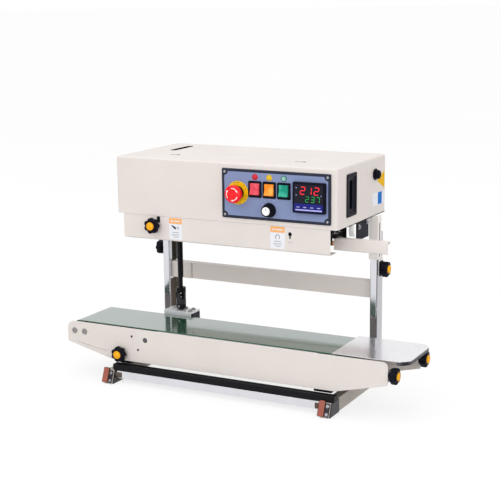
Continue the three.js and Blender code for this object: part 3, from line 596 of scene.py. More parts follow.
def star_knob(node, axis):
    """A seven-lobed grip with a yellow cap, on a threaded stud."""
    box, body = Place(node), BODY_OF[node]
    tip = box.mid + Vector(a * s / 2 for a, s in zip(axis, box.size))
    seat = tip - axis * KNOB_LENGTH
    star = lobes(7, 0.18, 1.2)
    Shape().turned([
        (0, 0.0), (8.2, 0.0), (9.0, 0.8), (9.0, 4.6), (11.5, 5.0), (15.2, 5.0, star), (18.8, 5.6, star),
        (19.8, 7.0, star), (20.0, 9.0, star), (20.0, 16.5, star), (19.6, 18.6, star), (18.4, 20.2, star),
        (16.2, 21.1, star), (13.0, 21.5), (11.2, 21.5), (10.6, 21.1), (10.5, 20.0), (0, 20.0),
    ], seat, axis, 168).piece(node + "_grip", BLACK, body, replaces=node, flat=50)
    Shape().turned([
        (0, 20.2), (9.9, 20.2), (10.1, 20.6), (10.1, 22.6), (9.7, 23.4), (8.6, 24.0), (6.2, 24.3),
        (5.6, 24.6), (4.6, 24.9), (0, 25.0),
    ], seat, axis, 64).piece(node + "_cap", AMBER, body, flat=60)
    length = abs(box.size.dot(axis)) - KNOB_LENGTH
    turns = max(2, round(length / 0.9))
    thread = [(0, -length), (3.3, -length)]
    for i in range(turns):
        thread += [(r, -length + (i + share) * length / turns) for r, share in ((3.3, 0.35), (4.0, 0.75))]
    thread += [(3.6, 0), (3.6, 0.4), (0, 0.4)]
    Shape().turned(thread, seat, axis, 24).piece(node + "_stud", STEEL, body, flat=80)


# ------------------------------------------------------------------ head
FOLD = 5  # radius of the head cover's bends
SHEET = 2
LAP = 10  # how far a cutting shape reaches past the sheet it cuts


def head_shell():
    """The folded cover: five walls with round bends, its openings and the seam along its top."""
    shape = Shape().block(HEAD.low, HEAD.high)
    bm = shape.bm
    floor = min(bm.faces, key=lambda f: f.calc_center_median().z)
    bmesh.ops.delete(bm, geom=[floor], context="FACES_ONLY")
    edges = [e for e in bm.edges if not e.is_boundary]
    bmesh.ops.bevel(bm, geom=edges, offset=FOLD, segments=6, affect="EDGES", profile=0.5, clamp_overlap=True)
    obj = shape.piece("head_shell", CREAM, replaces="head_cover")
    wall = obj.modifiers.new("wall", "SOLIDIFY")
    wall.thickness = SHEET * MM
    wall.offset = -1
    wall.use_even_offset = True
    bake(obj)
    low, top = HEAD.low, HEAD.high.z
    tools = Shape().block(
        (PANEL.low.x + LAP, low.y - LAP, PANEL.low.z + LAP),
        (PANEL.high.x - LAP, low.y + LAP, PANEL.high.z - LAP),
    )
    grip, rim = Place("side_handle"), 6
    outline = rounded(grip.low.y + rim, grip.high.y - rim, grip.low.z + rim, grip.high.z - rim, 3)
    tools.slab(outline, "x", HEAD.high.x - LAP, HEAD.high.x + LAP)
    for outline in top_openings():
        tools.slab(outline, "z", top - LAP, top + LAP)
    seam_y = low.y + 199
    tools.block((low.x - LAP, seam_y - 0.35, top - 0.7), (HEAD.high.x + LAP, seam_y + 0.35, top + LAP))
    first = Place("gear_motor").low.x + 20
    for x in [first + i * 11 for i in range(12)]:
        tools.tile("y", x - 2.2, x + 2.2, top - 62, top - 26, HEAD.high.y - LAP, HEAD.high.y + LAP, 2.1)
    carve(obj, tools, 0.25)


def top_openings():
    """The long slot at the left and the two keyholes near the front of the top."""
    x0, y0 = HEAD.low.x, HEAD.low.y
    holes = [rounded(x0 + 61.5, x0 + 80.5, y0 + 153, y0 + 253, 8)]
    for left in (x0 + 108, x0 + 454):
        y = y0 + 81
        holes.append([(left, y - 2.6)] + arc(left + 25, y, 5.6, -150, 150, 14) + [(left, y + 2.6)])
    return holes


def top_opening_shade():
    """Dark sheets that close the openings in the cover's top just below its surface, as painted shade in the
    openings.
    """
    lining = Shape()
    for outline in top_openings():
        lining.slab(shrunk(outline, 0.15), "z", HEAD.high.z - 1.9, HEAD.high.z - 0.3)
    lining.piece("top_opening_shade", VOID)


def head_details():
    """Screws of the cover, a dark strip under its right side as painted shade of the gap there, and the
    gland of the mains cable.
    """
    low, high = HEAD.low, HEAD.high
    screws = Shape()
    for x in (low.x + 16, HEAD.mid.x, high.x - 16):
        for z in (low.z + 12, high.z - 14):
            screws.pan_screw((x, high.y, z), BACK, 3.2)
    for y in (low.y + 40, HEAD.mid.y, high.y - 30):
        screws.pan_screw((low.x, y, low.z + 12), LEFT, 3.2)
    screws.piece("cover_screws", STEEL, flat=45)
    # A dark strip under the cover's right edge, as painted shade in the gap.
    trim = Shape().block((high.x - 2, low.y + 62, low.z - 2.4), (high.x - 0.2, high.y - 3, low.z - 0.1))
    trim.piece("right_edge_gap_shade", RUBBER, bevel=0.4)
    at = Vector((high.x, high.y - 72, high.z - 42))
    ribs = lobes(16, 0.05)
    Shape().turned([
        (0, 0), (12.4, 0), (13.0, 0.5), (13.0, 4.2, hexagon), (12.4, 4.8), (11.0, 4.9), (11.4, 5.2, ribs),
        (11.4, 9.0, ribs), (10.8, 11.4, ribs), (9.0, 13.6), (6.4, 14.7), (4.6, 14.8), (4.4, 13.0), (0, 13.0),
    ], at, RIGHT, 96).piece("cable_gland", BLACK, flat=50, slot="")
    plug = [(0, 12.6), (4.2, 12.6), (4.2, 13.6), (3.2, 14.9), (1.6, 15.5), (0, 15.6)]
    Shape().turned(plug, at, RIGHT, 24).piece("cable_gland_plug", BLACK, flat=60, slot="")


def handle_frame():
    """The recessed grip: a framed plate whose floor steps down to a narrow slot."""
    box = Place("side_handle")
    face, slot = box.high.x, box.size.y / 2 - 8.5

    def outline(by_y, by_z, corner=4):
        return rounded(box.low.y + by_y, box.high.y - by_y, box.low.z + by_z, box.high.z - by_z, corner, 5)

    levels = [
        (outline(8, 8), box.low.x), (outline(8, 8), face - 2.4), (outline(0, 0), face - 2.2),
        (outline(0, 0), face - 0.5), (outline(0.6, 0.6), face), (outline(7, 8), face),
        (outline(8, 9), face - 1.6), (outline(slot, 17, 5), face - 3.4),
        (outline(slot + 1, 18, 5), box.low.x + 3),
    ]
    rings = [[(x, *p) for p in ring] for ring, x in levels]
    Shape().loft(rings).piece("handle_frame", BLACK, replaces="side_handle")


def label(side, x0, width, z0, height=54):
    """A plain card on the guard: an orange header, a picture of plain shapes, and lines for print."""
    y, x1, z1 = GUARD.low.y, x0 + width, z0 + height
    mid = (x0 + x1) / 2
    Shape().tile("y", x0, x1, z0, z1, y - 0.2, y - 0.02, 2).piece(f"{side}_label_card", WHITE_VINYL)
    header = Shape().tile("y", x0 + 0.4, x1 - 0.4, z1 - 15, z1 - 0.4, y - 0.28, y - 0.2, 1.6)
    header.piece(f"{side}_label_header", ORANGE_INK)
    pale = Shape().tile("y", x0 + 6, x0 + 11, z1 - 10.5, z1 - 5.5, y - 0.34, y - 0.28, 2.4)
    pale.tile("y", x0 + 14, x1 - 6, z1 - 9.3, z1 - 6.7, y - 0.34, y - 0.28, 1.2)
    pale.piece(f"{side}_label_header_marks", WHITE_VINYL)
    ink = (y - 0.26, y - 0.2)
    lines = Shape().tile("y", mid - 9, mid + 9, z1 - 37, z1 - 35.4, *ink, 0.7)
    for k in range(3):
        half, z = 12 - 2.5 * k, z0 + 12 - 3.4 * k
        lines.tile("y", mid - half, mid + half, z, z + 1.1, *ink, 0.5)
    if side == "left":
        bar = [(-12, 20), (-10, 18), (1.5, 23.5), (1.5, 28), (-2.5, 28.5)]
        Shape().slab([(mid + x, z1 - z) for x, z in bar], "y", *ink).piece("left_label_mark", DARK_INK)
        lines.slab(band_arc(mid + 7, z1 - 24.5, 3.4, 1.8, 0, 340, 16), "y", *ink)
    else:
        lines.slab(band_arc(mid, z1 - 26, 6.5, 4.2, -50, 230, 18), "y", *ink)
    lines.piece(f"{side}_label_lines", GREY_INK)


def stickers():
    """Plain labels on the guard, a lock mark below its keyhole, and plain stickers on the right side."""
    label("left", GUARD.low.x + 132, 37, GUARD.low.z + 5)
    label("right", GUARD.high.x - 154.5, 38.5, GUARD.low.z + 6)
    y, x, back = GUARD.low.y, HEAD.high.x, HEAD.high.y
    lock = band_arc(GUARD.high.x - 103, GUARD.low.z + 28, 6, 5, 200, 340, 14)
    Shape().slab(lock, "y", y - 0.12, y - 0.02).piece("lock_mark", GREY_INK)
    triangle = [(back - 56, 514), (back - 7, 492), (back - 7, 536)]
    Shape().slab(triangle, "x", x + 0.02, x + 0.25).piece("yellow_sticker", YELLOW_VINYL, bevel=0.1)
    Shape().tile("x", back - 84, back - 8, 454, 486, x + 0.02, x + 0.2, 1.5).piece("side_card", WHITE_VINYL)
    mark = Shape().tile("x", back - 50, back - 24, 455, 485, x + 0.2, x + 0.26, 1.5)
    mark.piece("side_card_blue", BLUE_INK)


def guard_sheet():
    """The front guard: a face with a bent lower flange, the embossing slot, a stud hole and a keyhole."""
    x, y, bottom, top, bend, corner = GUARD.low.x, GUARD.low.y, GUARD.low.z, GUARD.high.z, 4, 8
    section = [(y, top)] + arc(y + bend, bottom + bend, bend, 180, 270, 6) + [(GUARD.high.y, bottom)]
    sheet = Shape().folded(section, x, GUARD.high.x, 1.5)
    obj = sheet.piece("guard_sheet", CREAM, replaces="front_guard", flat=35)
    trim = [(x - 1, bottom - 1), (x + corner, bottom - 1), (x + corner, bottom)]
    trim += arc(x + corner, bottom + corner, corner, 270, 180, 6)[1:] + [(x - 1, bottom + corner)]
    tools = Shape().slab(trim, "y", y - 1, y + bend + 1)
    tools.block((x - 1, y + bend, bottom - 1), (x + corner, GUARD.high.y + 1, bottom + bend))
    tools.tile("y", x + 96.5, x + 106.5, top - 17, top - 1, y - 1, y + 3, 1)
    knob = Place("emboss_knob").mid
    tools.rod(STUD_HOLE, 6, (knob.x, y - 2, knob.z), BACK)
    key_x, key_z = GUARD.high.x - 103, bottom + 43
    neck = math.degrees(math.acos(2 / 5))
    outline = arc(key_x, key_z, 5, -neck, 180 + neck, 20)
    outline += [(key_x - 2, key_z - 11), (key_x + 2, key_z - 11)]
    tools.slab(outline, "y", y - 1, y + 3)
    carve(obj, tools, 0.2)
    # A black block behind the guard's slot and keyhole, as painted shade inside them.
    dark = Shape().tile("y", x + 94, x + 109, top - 19, top - 0.2, y + 3, y + 6, 1)
    dark.tile("y", key_x - 8, key_x + 8, key_z - 14, key_z + 8, y + 3, y + 6, 1)
    dark.piece("guard_opening_shade", BLACK, bevel=0.3, slot="")


def guide_rail():
    """The infeed guide: two thin rails with the bag's slot between them, rounded along the top."""
    box = Place("infeed_guide")
    x0, x1, y, bottom, top, bend = box.low.x, box.high.x, box.low.y, box.low.z, 400, 2.5
    section = [(y + 5, bottom)] + arc(y + bend, bottom + bend, bend, 270, 180, 5)
    section += arc(y + bend, top - bend, bend, 180, 90, 5) + [(y + 6.4, top)]
    rail = Shape().folded(section[::-1], x0, x1, 1.6)
    front, back = y + 9.2, y + 16
    section = [(front, top - 6), (front, top - bend)] + arc(front + bend, top - bend, bend, 180, 90, 5)
    section += arc(back - bend, top - bend, bend, 90, 0, 5) + [(back, top - 6)]
    rail.folded(section[::-1], x0, x1, 1.4).piece("guide_rail", CREAM, replaces="infeed_guide", flat=35)
    # A dark block down in the slot between the rails, as painted shade of the groove.
    bed = Shape().block((x0 + 2, y + 5, top - 8), (x1 - 3, y + 12, top - 3.5))
    bed.piece("guide_slot_shade", DARK_GREY, bevel=0.3)
    under = HEAD.low.z - 0.3
    stay = Shape().tile("y", x0 + 3, x0 + 27, top - 3.4, under, y + 11, y + 14, 3)
    for x in (x0 + 9, x0 + 21):
        stay.cap_screw((x, y + 11, under - 8), FRONT, 2.6, 2)
    stay.piece("guide_stay", BLACK_STEEL, bevel=0.4)


def feed_in():
    """The small black feed-in belts at the mouth, with their pulleys, arm, strap and studs."""
    seam, x0, x1 = -46, 219, 247
    pulley = [
        (0, -6), (9.4, -6), (9.8, -5.6), (9.8, -5.2), (8.2, -5), (8.2, 5), (9.8, 5.2), (9.8, 5.6), (9.4, 6),
        (4.0, 6), (4.0, 8.5), (0, 8.5),
    ]
    for side, y in (("front", seam - 13.5), ("rear", seam + 13.5)):
        Shape().belt(x0, x1, y, 8.4, 1.6, 404, 414, "z", 0.4, 16).piece(f"{side}_feed_belt", RUBBER)
        wheels, bolts = Shape(), Shape()
        for x in (x0, x1):
            wheels.turned(pulley, (x, y, 409), UP, 32)
            bolts.cap_screw((x, y, 424), UP, 2.6, 3)
        wheels.piece(f"{side}_feed_pulleys", ALUMINIUM, flat=40)
        arm = Shape().tile("z", x0 - 11, x1 + 11, y - 6.5, y + 6.5, 418, 424, 5)
        arm.rod(5, 7.5, (x0 - 5, y, 424), UP, 24).piece(f"{side}_feed_arm", BLACK_STEEL, bevel=0.6)
        bolts.cap_screw((x1 + 5, y - 6.5, 421), FRONT, 2, 1.6)
        bolts.piece(f"{side}_feed_bolts", STEEL, flat=40)
    Shape().block((243, -96, 392), (259, -88, 403)).piece("brass_shoe", COPPER, bevel=1)
    Shape().block((246, -94, 403.1), (256, -89.5, 431.6)).piece("shoe_hanger", BLACK_STEEL, bevel=0.6)
    path = [(-22, 431.5), (-22.4, 427), (-24.5, 421), (-25.2, 415), (-23.5, 409), (-21.5, 404), (-21, 401.5)]
    Shape().folded(path, 269.5, 283, 1.6).piece("mouth_strap", WHITE, bevel=0.2, flat=50)
    end = Place("side_plate")
    studs = Shape().cap_screw((end.high.x, end.low.y + 12, 419), RIGHT, 4.2, 4)
    studs.cap_screw((end.high.x, end.high.y - 12, 424), RIGHT, 4.2, 4)
    studs.piece("side_plate_studs", STEEL, flat=40)


# ------------------------------------------------------------------ conveyor
def front_plate():
    """The conveyor's front plate, with its end lug, axle bolts, screws and a pressed lip line."""
    box = FRONT_PLATE
    x0, x1, z0, z1, y = box.low.x, box.high.x, box.low.z, box.high.z, box.low.y
    rise, rise_z, sheet = 132, 89, 1.5
    outline = [(x0 + rise, z0), (x1 - rise, z0), (x1 - 3, rise_z - 1), (x1, rise_z + 2)]
    outline += arc(x1 - 13, z1 - 13, 13, 0, 90, 8) + arc(x0 + 20, z1 - 20, 20, 90, 180, 10)
    outline += [(x0, rise_z + 2), (x0 + 3, rise_z - 1)]
    plate = Shape().slab(outline, "y", y, y + sheet)
    obj = plate.piece("front_plate", CREAM, "conveyor", replaces="front_side_plate", flat=25)
    drum, knob = Place("drive_drum").mid, Place("conveyor_knob").mid
    tools = Shape().rod(STUD_HOLE, 6, (knob.x, y - 2, knob.z), BACK)
    carve(obj, tools.rod(6.4, 6, (drum.x, y - 2, BELT.mid.z), BACK), 0.5, 2, 25)
    knob = Place("front_end_knob").mid
    lug = Shape().tile("x", y + sheet, y + 20, knob.z - 15, knob.z + 15, x1 - 3, x1 - 0.4, 3)
    obj = lug.piece("front_plate_lug", CREAM, "conveyor")
    carve(obj, Shape().rod(STUD_HOLE, 9, (x1 - 6, knob.y, knob.z), RIGHT), 0.4, 2, None)
    axle = Place("left_roller").mid
    bolts = Shape().cap_screw((axle.x - 16.5, y, axle.z + 2), FRONT, 5.4, 2.8)
    bolts.cap_screw((axle.x + 14, y, axle.z + 2), FRONT, 5.4, 2.8)
    bolts.piece("axle_bolts", ZINC, "conveyor", flat=40)
    screws = Shape().pan_screw((drum.x - 39, y, BELT.mid.z + 6), FRONT, 2.8)
    screws.pan_screw((drum.x - 21, y, BELT.mid.z - 27), FRONT, 2.8)
    screws.piece("plate_screws", DARK_GREY, "conveyor", flat=40, slot="black_steel")
    # A cream wire for the lip, and a darker wire just below it as its painted shadow.
    path = [(27, 42.5), (30, 38.5), (34, 35.4), (42, 33.2), (78, 27.3), (118, 21.5)]
    for name, look, drop, radius in (
        ("pressed_lip", CREAM, 0, 0.9), ("pressed_lip_shadow", SHADE_AND_JOINT_CREAM, 1.9, 0.8),
    ):
        line = Shape().wire([(x0 + dx, y + 0.1, z0 + dz - drop) for dx, dz in path], radius)
        line.piece(name, look, "conveyor", flat=60, slot="")


def rollers():
    """The two end rollers: tubes with end caps on plain axles."""
    y0, y1, r = BELT.low.y + 0.5, BELT.high.y - 0.5, 27.7
    front, rear = FRONT_PLATE.low.y + 1.8, Place("rear_side_plate").high.y + 0.4
    profile = [
        (0, front), (6, front), (6, y0 + 3), (14, y0 + 3), (14, y0 + 1.4), (r - 2.5, y0 + 1.4),
        (r - 2.5, y0),
        (r - 0.8, y0), (r, y0 + 0.8), (r, y1 - 0.8), (r - 0.8, y1), (r - 2.5, y1), (r - 2.5, y1 - 1.4),
        (14, y1 - 1.4), (14, y1 - 3), (6, y1 - 3), (6, rear - 0.5), (5.5, rear), (0, rear),
    ]
    for node in ("left_roller", "right_roller"):
        at = Place(node).mid
        tube = Shape().turned(profile, (at.x, 0, at.z), BACK, 56)
        tube.piece(node + "_tube", STEEL, BODY_OF[node], replaces=node)


def belts():
    """The conveyor belt and the two sealing bands."""
    belt = Shape().belt(BELT.low.x + 30, BELT.high.x - 30, BELT.mid.z, 28, 2, BELT.low.y, BELT.high.y, "y")
    belt.piece("belt", BELTING, "conveyor", replaces="conveyor_belt", flat=25)
    for side in ("front", "rear"):
        box, reach = Place(f"{side}_band"), 29.2
        low, high = box.low, box.high
        band = Shape().belt(low.x + reach, high.x - reach, box.mid.y, 28, 1.2, low.z, high.z, "z", 0.3)
        band.piece(f"{side}_sealing_band", BAND, replaces=f"{side}_band", flat=25)


def gearbox():
    """The small housing under the bracket's top, the bolts on it, and the shaft's long lower hub."""
    low, high, top = BRACKET.low, BRACKET.high, BRACKET.high.z
    housing = Shape().tile("z", high.x - 30, high.x + 1, low.y + 4.5, high.y - 1, top - 26, top - 4.2, 3)
    housing.piece("bevel_housing", DARK_GREY, "conveyor", 1.2)
    bolts = Shape()
    for x, y in (
        (low.x + 15, high.y - 9), (high.x - 38, high.y - 7),
        (high.x - 12, low.y + 12), (high.x - 14, high.y - 10),
    ):
        bolts.hex_bolt((x, y, top), UP, 4.2, 4.2)
    bolts.piece("bracket_bolts", ZINC, "conveyor")
    at = Place("bevel_shaft").mid
    hub = [
        (0, 2.2), (10.2, 2.2), (11.2, 3.0), (12.2, 5.4), (12.8, 6.0), (12.8, 14.6), (12.2, 15.4), (0, 15.4),
    ]
    collar = Shape().turned(hub, (at.x, at.y, top), UP, 40)
    collar.piece("joint_collar", BLACK_STEEL, "bevel_shaft", flat=40)
    screw = Shape().cap_screw((at.x, at.y - 12.6, top + 10.4), FRONT, 2, 1.6)
    screw.piece("joint_grub_screw", STEEL, "bevel_shaft", flat=40)


def tray_edge():
    """The tray's folded skirt round its outer end, in a dark steel as painted shade."""
    box = Place("infeed_tray")
    x0, r = Place("rear_side_plate").high.x + 4, 28

    def path(grow):
        x, y0, y1 = box.high.x - r, box.low.y + r, box.high.y - r
        ends = arc(x, y0, r + grow, -90, 0, 8) + arc(x, y1, r + grow, 0, 90, 8)
        return [(x0, box.low.y - grow)] + ends + [(x0, box.high.y + grow)]

    skirt = Shape().slab(path(0.25) + path(0.02)[::-1], "z", box.low.z, box.high.z - 1.8)
    skirt.piece("tray_edge", SHADED_STEEL, BODY_OF["infeed_tray"])


# ------------------------------------------------------------------ stand
def post_details(side, inward):
    """Dark strips and flanges on a post as painted reflection and shade, its knob's clamp block, painted
    shade in its sleeve's slot, and screws.
    """
    bar, post, sleeve = Place("crossbar"), Place(f"{side}_post"), Place(f"{side}_sleeve")
    knob = Place(f"{side}_post_knob").mid
    inner, outer = (post.high.x, post.low.x) if inward > 0 else (post.low.x, post.high.x)
    high = (bar.high.z + 0.5, post.high.z - 4)
    # Strips and flanges coloured as painted reflection and shade on the chrome post's inner side.
    for name, look, y0, y1, z0, z1 in (
        ("upper", OLIVE, 14, 36, *high), ("middle", DARK_GREY, 14, 36, 217, bar.low.z - 0.5),
        ("lower", UMBER, 4, 36, 60, 214),
    ):
        ends = (inner, inner + inward * 0.22)
        strip = Shape().tile("x", post.low.y + y0, post.low.y + y1, z0, z1, *ends, 1.5)
        strip.piece(f"{side}_channel_{name}", look, "base")
    for name, look, z0, z1 in (("upper", OLIVE, *high), ("lower", UMBER, 40, bar.low.z - 0.5)):
        low = (inner + inward * 0.3, post.high.y - 2.2, z0)
        flange = Shape().block(low, (inner + inward * 9.5, post.high.y, z1))
        flange.piece(f"{side}_flange_{name}", look, "base", 0.5)
    out = -inward
    plate = sleeve.high.x if out > 0 else sleeve.low.x
    y, z = knob.y, knob.z
    clamp = Shape().tile("x", y - 12, y + 12, z - 18, z + 20, plate + out * 0.1, plate + out * 2.6, 4)
    clamp.piece(f"{side}_clamp", BLACK, bevel=0.6, slot="")
    y = sleeve.low.y
    strip = Shape().tile("x", y + 8, y + 16, 324, 414, outer + out * 0.1, outer + out * 0.35, 2)
    strip.piece(f"{side}_slot_shade", BLACK, slot="")
    studs = Shape().cap_screw((sleeve.mid.x - 3, y, 368), FRONT, 1.5, 1.2)
    studs.cap_screw((sleeve.mid.x - 3, y, 382), FRONT, 1.5, 1.2)
    studs.piece(f"{side}_sleeve_screws", STEEL, flat=40)


def crossbar_end():
    """The clamp sheet at the crossbar's left end and the joint line beside it."""
    bar = Place("crossbar")
    x, y, z0, z1 = bar.low.x, bar.low.y, bar.low.z, bar.high.z
    clamp = Shape().tile("y", x + 0.5, x + 59, z0 - 0.6, z1 + 0.6, y - 1.4, y - 0.02, 1.2)
    clamp.piece("crossbar_clamp", CREAM, "base", 0.4)
    joint = Shape().block((x + 59.2, y - 0.5, z0 + 0.2), (x + 64, y - 0.02, z1 - 0.2))
    joint.piece("crossbar_joint", SHADE_AND_JOINT_CREAM, "base")


def foot(side, inward):
    """A folded foot whose front end slopes back, with a brown pad, a bolted lug and a dark bracket."""
    box, rail = Place(f"{side}_foot"), Place("sill_rail")
    top, x0, x1 = box.high.z, box.low.x, box.high.x - 7
    heel, cut, toe = box.low.y + 7, box.low.y + 20, 2
    profile = [(heel, 0), (box.high.y, 0), (box.high.y, top), (cut, top), (heel, toe)]
    beam = Shape().slab(profile, "x", x0, x1)
    # The beam takes the darker cream as painted shade.
    beam.piece(f"{side}_foot_beam", SHADE_AND_JOINT_CREAM, "base", 1.2, f"{side}_foot", slot="cream_paint")
    length = math.hypot(cut - heel, top - toe)
    slope = Vector((0, cut - heel, top - toe)) / length
    out = Vector((0, -slope.z, slope.y))

    def on_slope(x, along, away):
        return Vector((x, heel, toe)) + slope * along + out * away

    for name, look, low_x, high_x, reach, thick in (
        ("pad", BROWN_RUBBER, x0 - 5, x0 + 10, 4, 4), ("pad_edge", RUBBER, x0 - 6.5, x0 + 11, 5, 2.5),
        ("lug", OXIDE, x0 + 11.6, x1 - 0.5, -1, 2),
    ):
        corners = rounded(low_x, high_x, 0.6, length + reach, 3)
        plate = Shape().loft([[on_slope(x, along, away) for x, along in corners] for away in (0.05, thick)])
        plate.piece(f"{side}_foot_{name}", look, "base", 0.6)
    bolts = Shape().cap_screw(on_slope(x1 - 6, 7, 2), out, 2.6, 2.2)
    bolts.cap_screw(on_slope(x1 - 6, length - 8, 2), out, 2.6, 2.2)
    bolts.piece(f"{side}_foot_bolts", STEEL, "base", flat=40)
    outline = [(heel + 3, 0.3), (rail.high.y + 22, 0.3), (rail.high.y + 22, top), (cut + 1, top)]
    bracket = Shape().slab(outline, "x", x1 + 0.05, x1 + 2.5)
    bracket.piece(f"{side}_foot_bracket", OXIDE, "base", 0.5)
    face = x1 + 2.6 if inward > 0 else x0
    low, high = rail.low, rail.high
    outline = rounded(low.y - 2, high.y + 2, low.z - 2, high.z - 0.1, 9, 6)
    mount = Shape().slab(outline, "x", face + inward * 0.1, face + inward * 19)
    mount.piece(f"{side}_sill_mount", UMBER, "base", 1.5)


# ------------------------------------------------------------------ control panel
BORDER = 6.8
EAR = 9.5
KEY_HALF = 11.8  # half the width of a rocker's paddle
ROCKER_Z = 516
PANEL_FRONT = PANEL.high.y - 2.7
ROCKERS = {"rocker_red": RED_KEY, "rocker_orange": ORANGE_KEY, "rocker_green": GREEN_KEY}


def panel_openings(margin, half, inset):
    """Solids that cut the openings of the rockers, the controller, the stop button and the dial."""
    y0, y1 = PANEL_FRONT - 8, PANEL.high.y + 8
    tools = Shape()
    for node in ROCKERS:
        box = Place(node)
        tools.block((box.low.x - margin, y0, ROCKER_Z - half), (box.high.x + margin, y1, ROCKER_Z + half))
    low, high = METER.low, METER.high
    tools.block((low.x + inset, y0, low.z + inset), (high.x - inset, y1, high.z - inset))
    for node, radius in (("estop_button", 10.4), ("speed_knob", STUD_HOLE)):
        at = Place(node).mid
        tools.rod(radius, 16, (at.x, y0, at.z), BACK)
    return tools


def panel_plate():
    """The charcoal backing plate, and its coloured field, whose corners curve in round the screws."""
    low, high = PANEL.low, PANEL.high
    plate = Shape().tile("y", low.x, high.x, low.z, high.z, PANEL_FRONT, high.y, 3)
    obj = plate.piece("panel_plate", PANEL_EDGE, replaces="control_panel")
    carve(obj, panel_openings(0.6, 16, 4), 0.3, 2, None)
    x0, x1, z0, z1 = low.x + BORDER, high.x - BORDER, low.z + BORDER, high.z - BORDER
    outline = []
    for cx, cz, start in ((x1, z0, 180), (x1, z1, -90), (x0, z1, 0), (x0, z0, 90)):
        outline += arc(cx, cz, EAR, start, start - 90, 8)
    field = Shape().slab(outline, "y", PANEL_FRONT - 0.35, PANEL_FRONT + 0.2)
    carve(field.piece("panel_overlay", PANEL_FIELD), panel_openings(1, 17, 2), 0.1, 1, None)
    screws = Shape()
    for x in (low.x + 8, high.x - 8):
        for z in (low.z + 8, high.z - 8):
            screws.pan_screw((x, PANEL_FRONT, z), FRONT, 3.2)
    screws.piece("panel_screws", STEEL, flat=45)


def rocker(node, look):
    """A black bezel, and a lit paddle: a shallow V tipped about its middle."""
    x, y0, y1 = Place(node).mid.x, PANEL.low.y, PANEL_FRONT - 0.3
    rings = []
    for grow, y in ((5.6, y1), (5.6, y0 + 1.2), (4.8, y0), (1.4, y0), (0.7, y0 + 0.8), (0.7, y1)):
        half, tall, corner = KEY_HALF + grow, 14.2 + grow, max(0.6, grow * 0.6)
        outline = rounded(x - half, x + half, ROCKER_Z - tall, ROCKER_Z + tall, corner, 3)
        rings.append([lift(p, "y", y) for p in outline])
    Shape().loft(rings, closed=True).piece(node + "_bezel", BLACK)
    tilt = Matrix.Rotation(math.radians(-7), 3, "X")
    pivot = Vector((x, y0 + 3, ROCKER_Z))
    half, edge = KEY_HALF, 1.2
    profile = [
        (-14, 4.4), (-13.4, 6.4), (-12.4, 7.0), (-6, 5.5), (0, 4.6), (6, 5.5), (12.4, 7.0), (13.4, 6.4),
        (14, 4.4), (10.5, -5), (-10.5, -5),
    ]
    rings = []
    for dx in (-half, -half + 0.35 * edge, -half + edge, half - edge, half - 0.35 * edge, half):
        drop = edge * (1 - math.cos(max(0, abs(dx) - half + edge) / edge * math.pi / 2))
        rings.append([pivot + tilt @ Vector((dx, (drop if out > 0 else 0) - out, z)) for z, out in profile])
    Shape().loft(rings).piece(node + "_paddle", look, BODY_OF[node], replaces=node, flat=24)


def lamp(node, name, look, lens_look):
    """A pilot lamp: a coloured bezel ring and a domed lens."""
    at = (Place(node).mid.x, PANEL_FRONT, PANEL.high.z - 17)
    ring = [(5.6, 0.2), (7.4, 0.2), (7.4, 1.2), (6.9, 1.7), (6.1, 1.8), (5.6, 1.2)]
    Shape().turned(ring, at, FRONT, 40, closed=True).piece(f"{name}_lamp_ring", look, flat=50)
    lens = [(0, 0.2), (5.4, 0.2), (5.4, 1.4), (4.6, 2.4), (3.0, 3.1), (1.4, 3.4), (0, 3.5)]
    Shape().turned(lens, at, FRONT, 32).piece(f"{name}_lamp_lens", lens_look, flat=60)


def emergency_stop():
    """The yellow plate, the red mushroom and its pale turn arrows."""
    plate_box, box = Place("estop_collar"), Place("estop_button")
    at = Vector((plate_box.mid.x, plate_box.high.y, plate_box.mid.z))
    rise = at.y - box.low.y
    plate = [(13, 0), (27.6, 0), (28, 0.4), (28, 2.2), (27.4, 3.0), (14, 3.2), (13, 2.8)]
    plate = Shape().turned(plate, at, FRONT, 72, closed=True)
    plate.piece("estop_plate", YELLOW, replaces="estop_collar", flat=50)
    marks = Shape()
    for start in (a for a in range(20, 360, 20) if a % 60):
        marks.slab(band_arc(at.x, at.z, 25.6, 24.2, start, start + 11, 5), "y", at.y - 3.2, at.y - 2.9)
    marks.piece("estop_plate_marks", DARK_INK)
    gasket = [(11.4, 0.2), (16.5, 2.6), (16.5, 5.4), (15.4, 7.0), (11.4, 7.0)]
    Shape().turned(gasket, at, FRONT, 48, closed=True).piece("estop_sleeve", BLACK, flat=50)

    def dome(r):
        return rise - 1.9 * (r / 20) ** 2.4

    head = [
        (0, -14.5), (10, -14.5), (10, 12), (14, 14), (19.6, 17.5), (20.8, 18.6), (21.5, 20.5), (21.5, 26),
        (21.1, 28), (20.4, 29.4),
    ]
    head += [(r, dome(r)) for r in (19.2, 17.5, 15.5, 13, 10.5, 7.5, 4)] + [(0, rise)]
    head = Shape().turned(head, at, FRONT, 72)
    head.piece("estop_mushroom", RED, "estop_button", replaces="estop_button", flat=60)
    arrows, ring, steps, tip = Shape(), 14.6, 16, 0.74
    for start in (100, 220, 340):
        loops = []
        for share in (i / steps for i in range(steps + 1)):
            angle = math.radians(start - 84 * share)
            half = max(0.85 if share < tip else 2.1 * (1 - share) / (1 - tip), 0.12)
            section = [(ring - half, 0.16), (ring + half, 0.16), (ring + half, -0.1), (ring - half, -0.1)]
            loops.append([
                at + Vector((r * math.cos(angle), -dome(r) - up, r * math.sin(angle))) for r, up in section
            ])
        arrows.loft(loops)
    arrows.piece("estop_arrows", WHITE, "estop_button", flat=40)


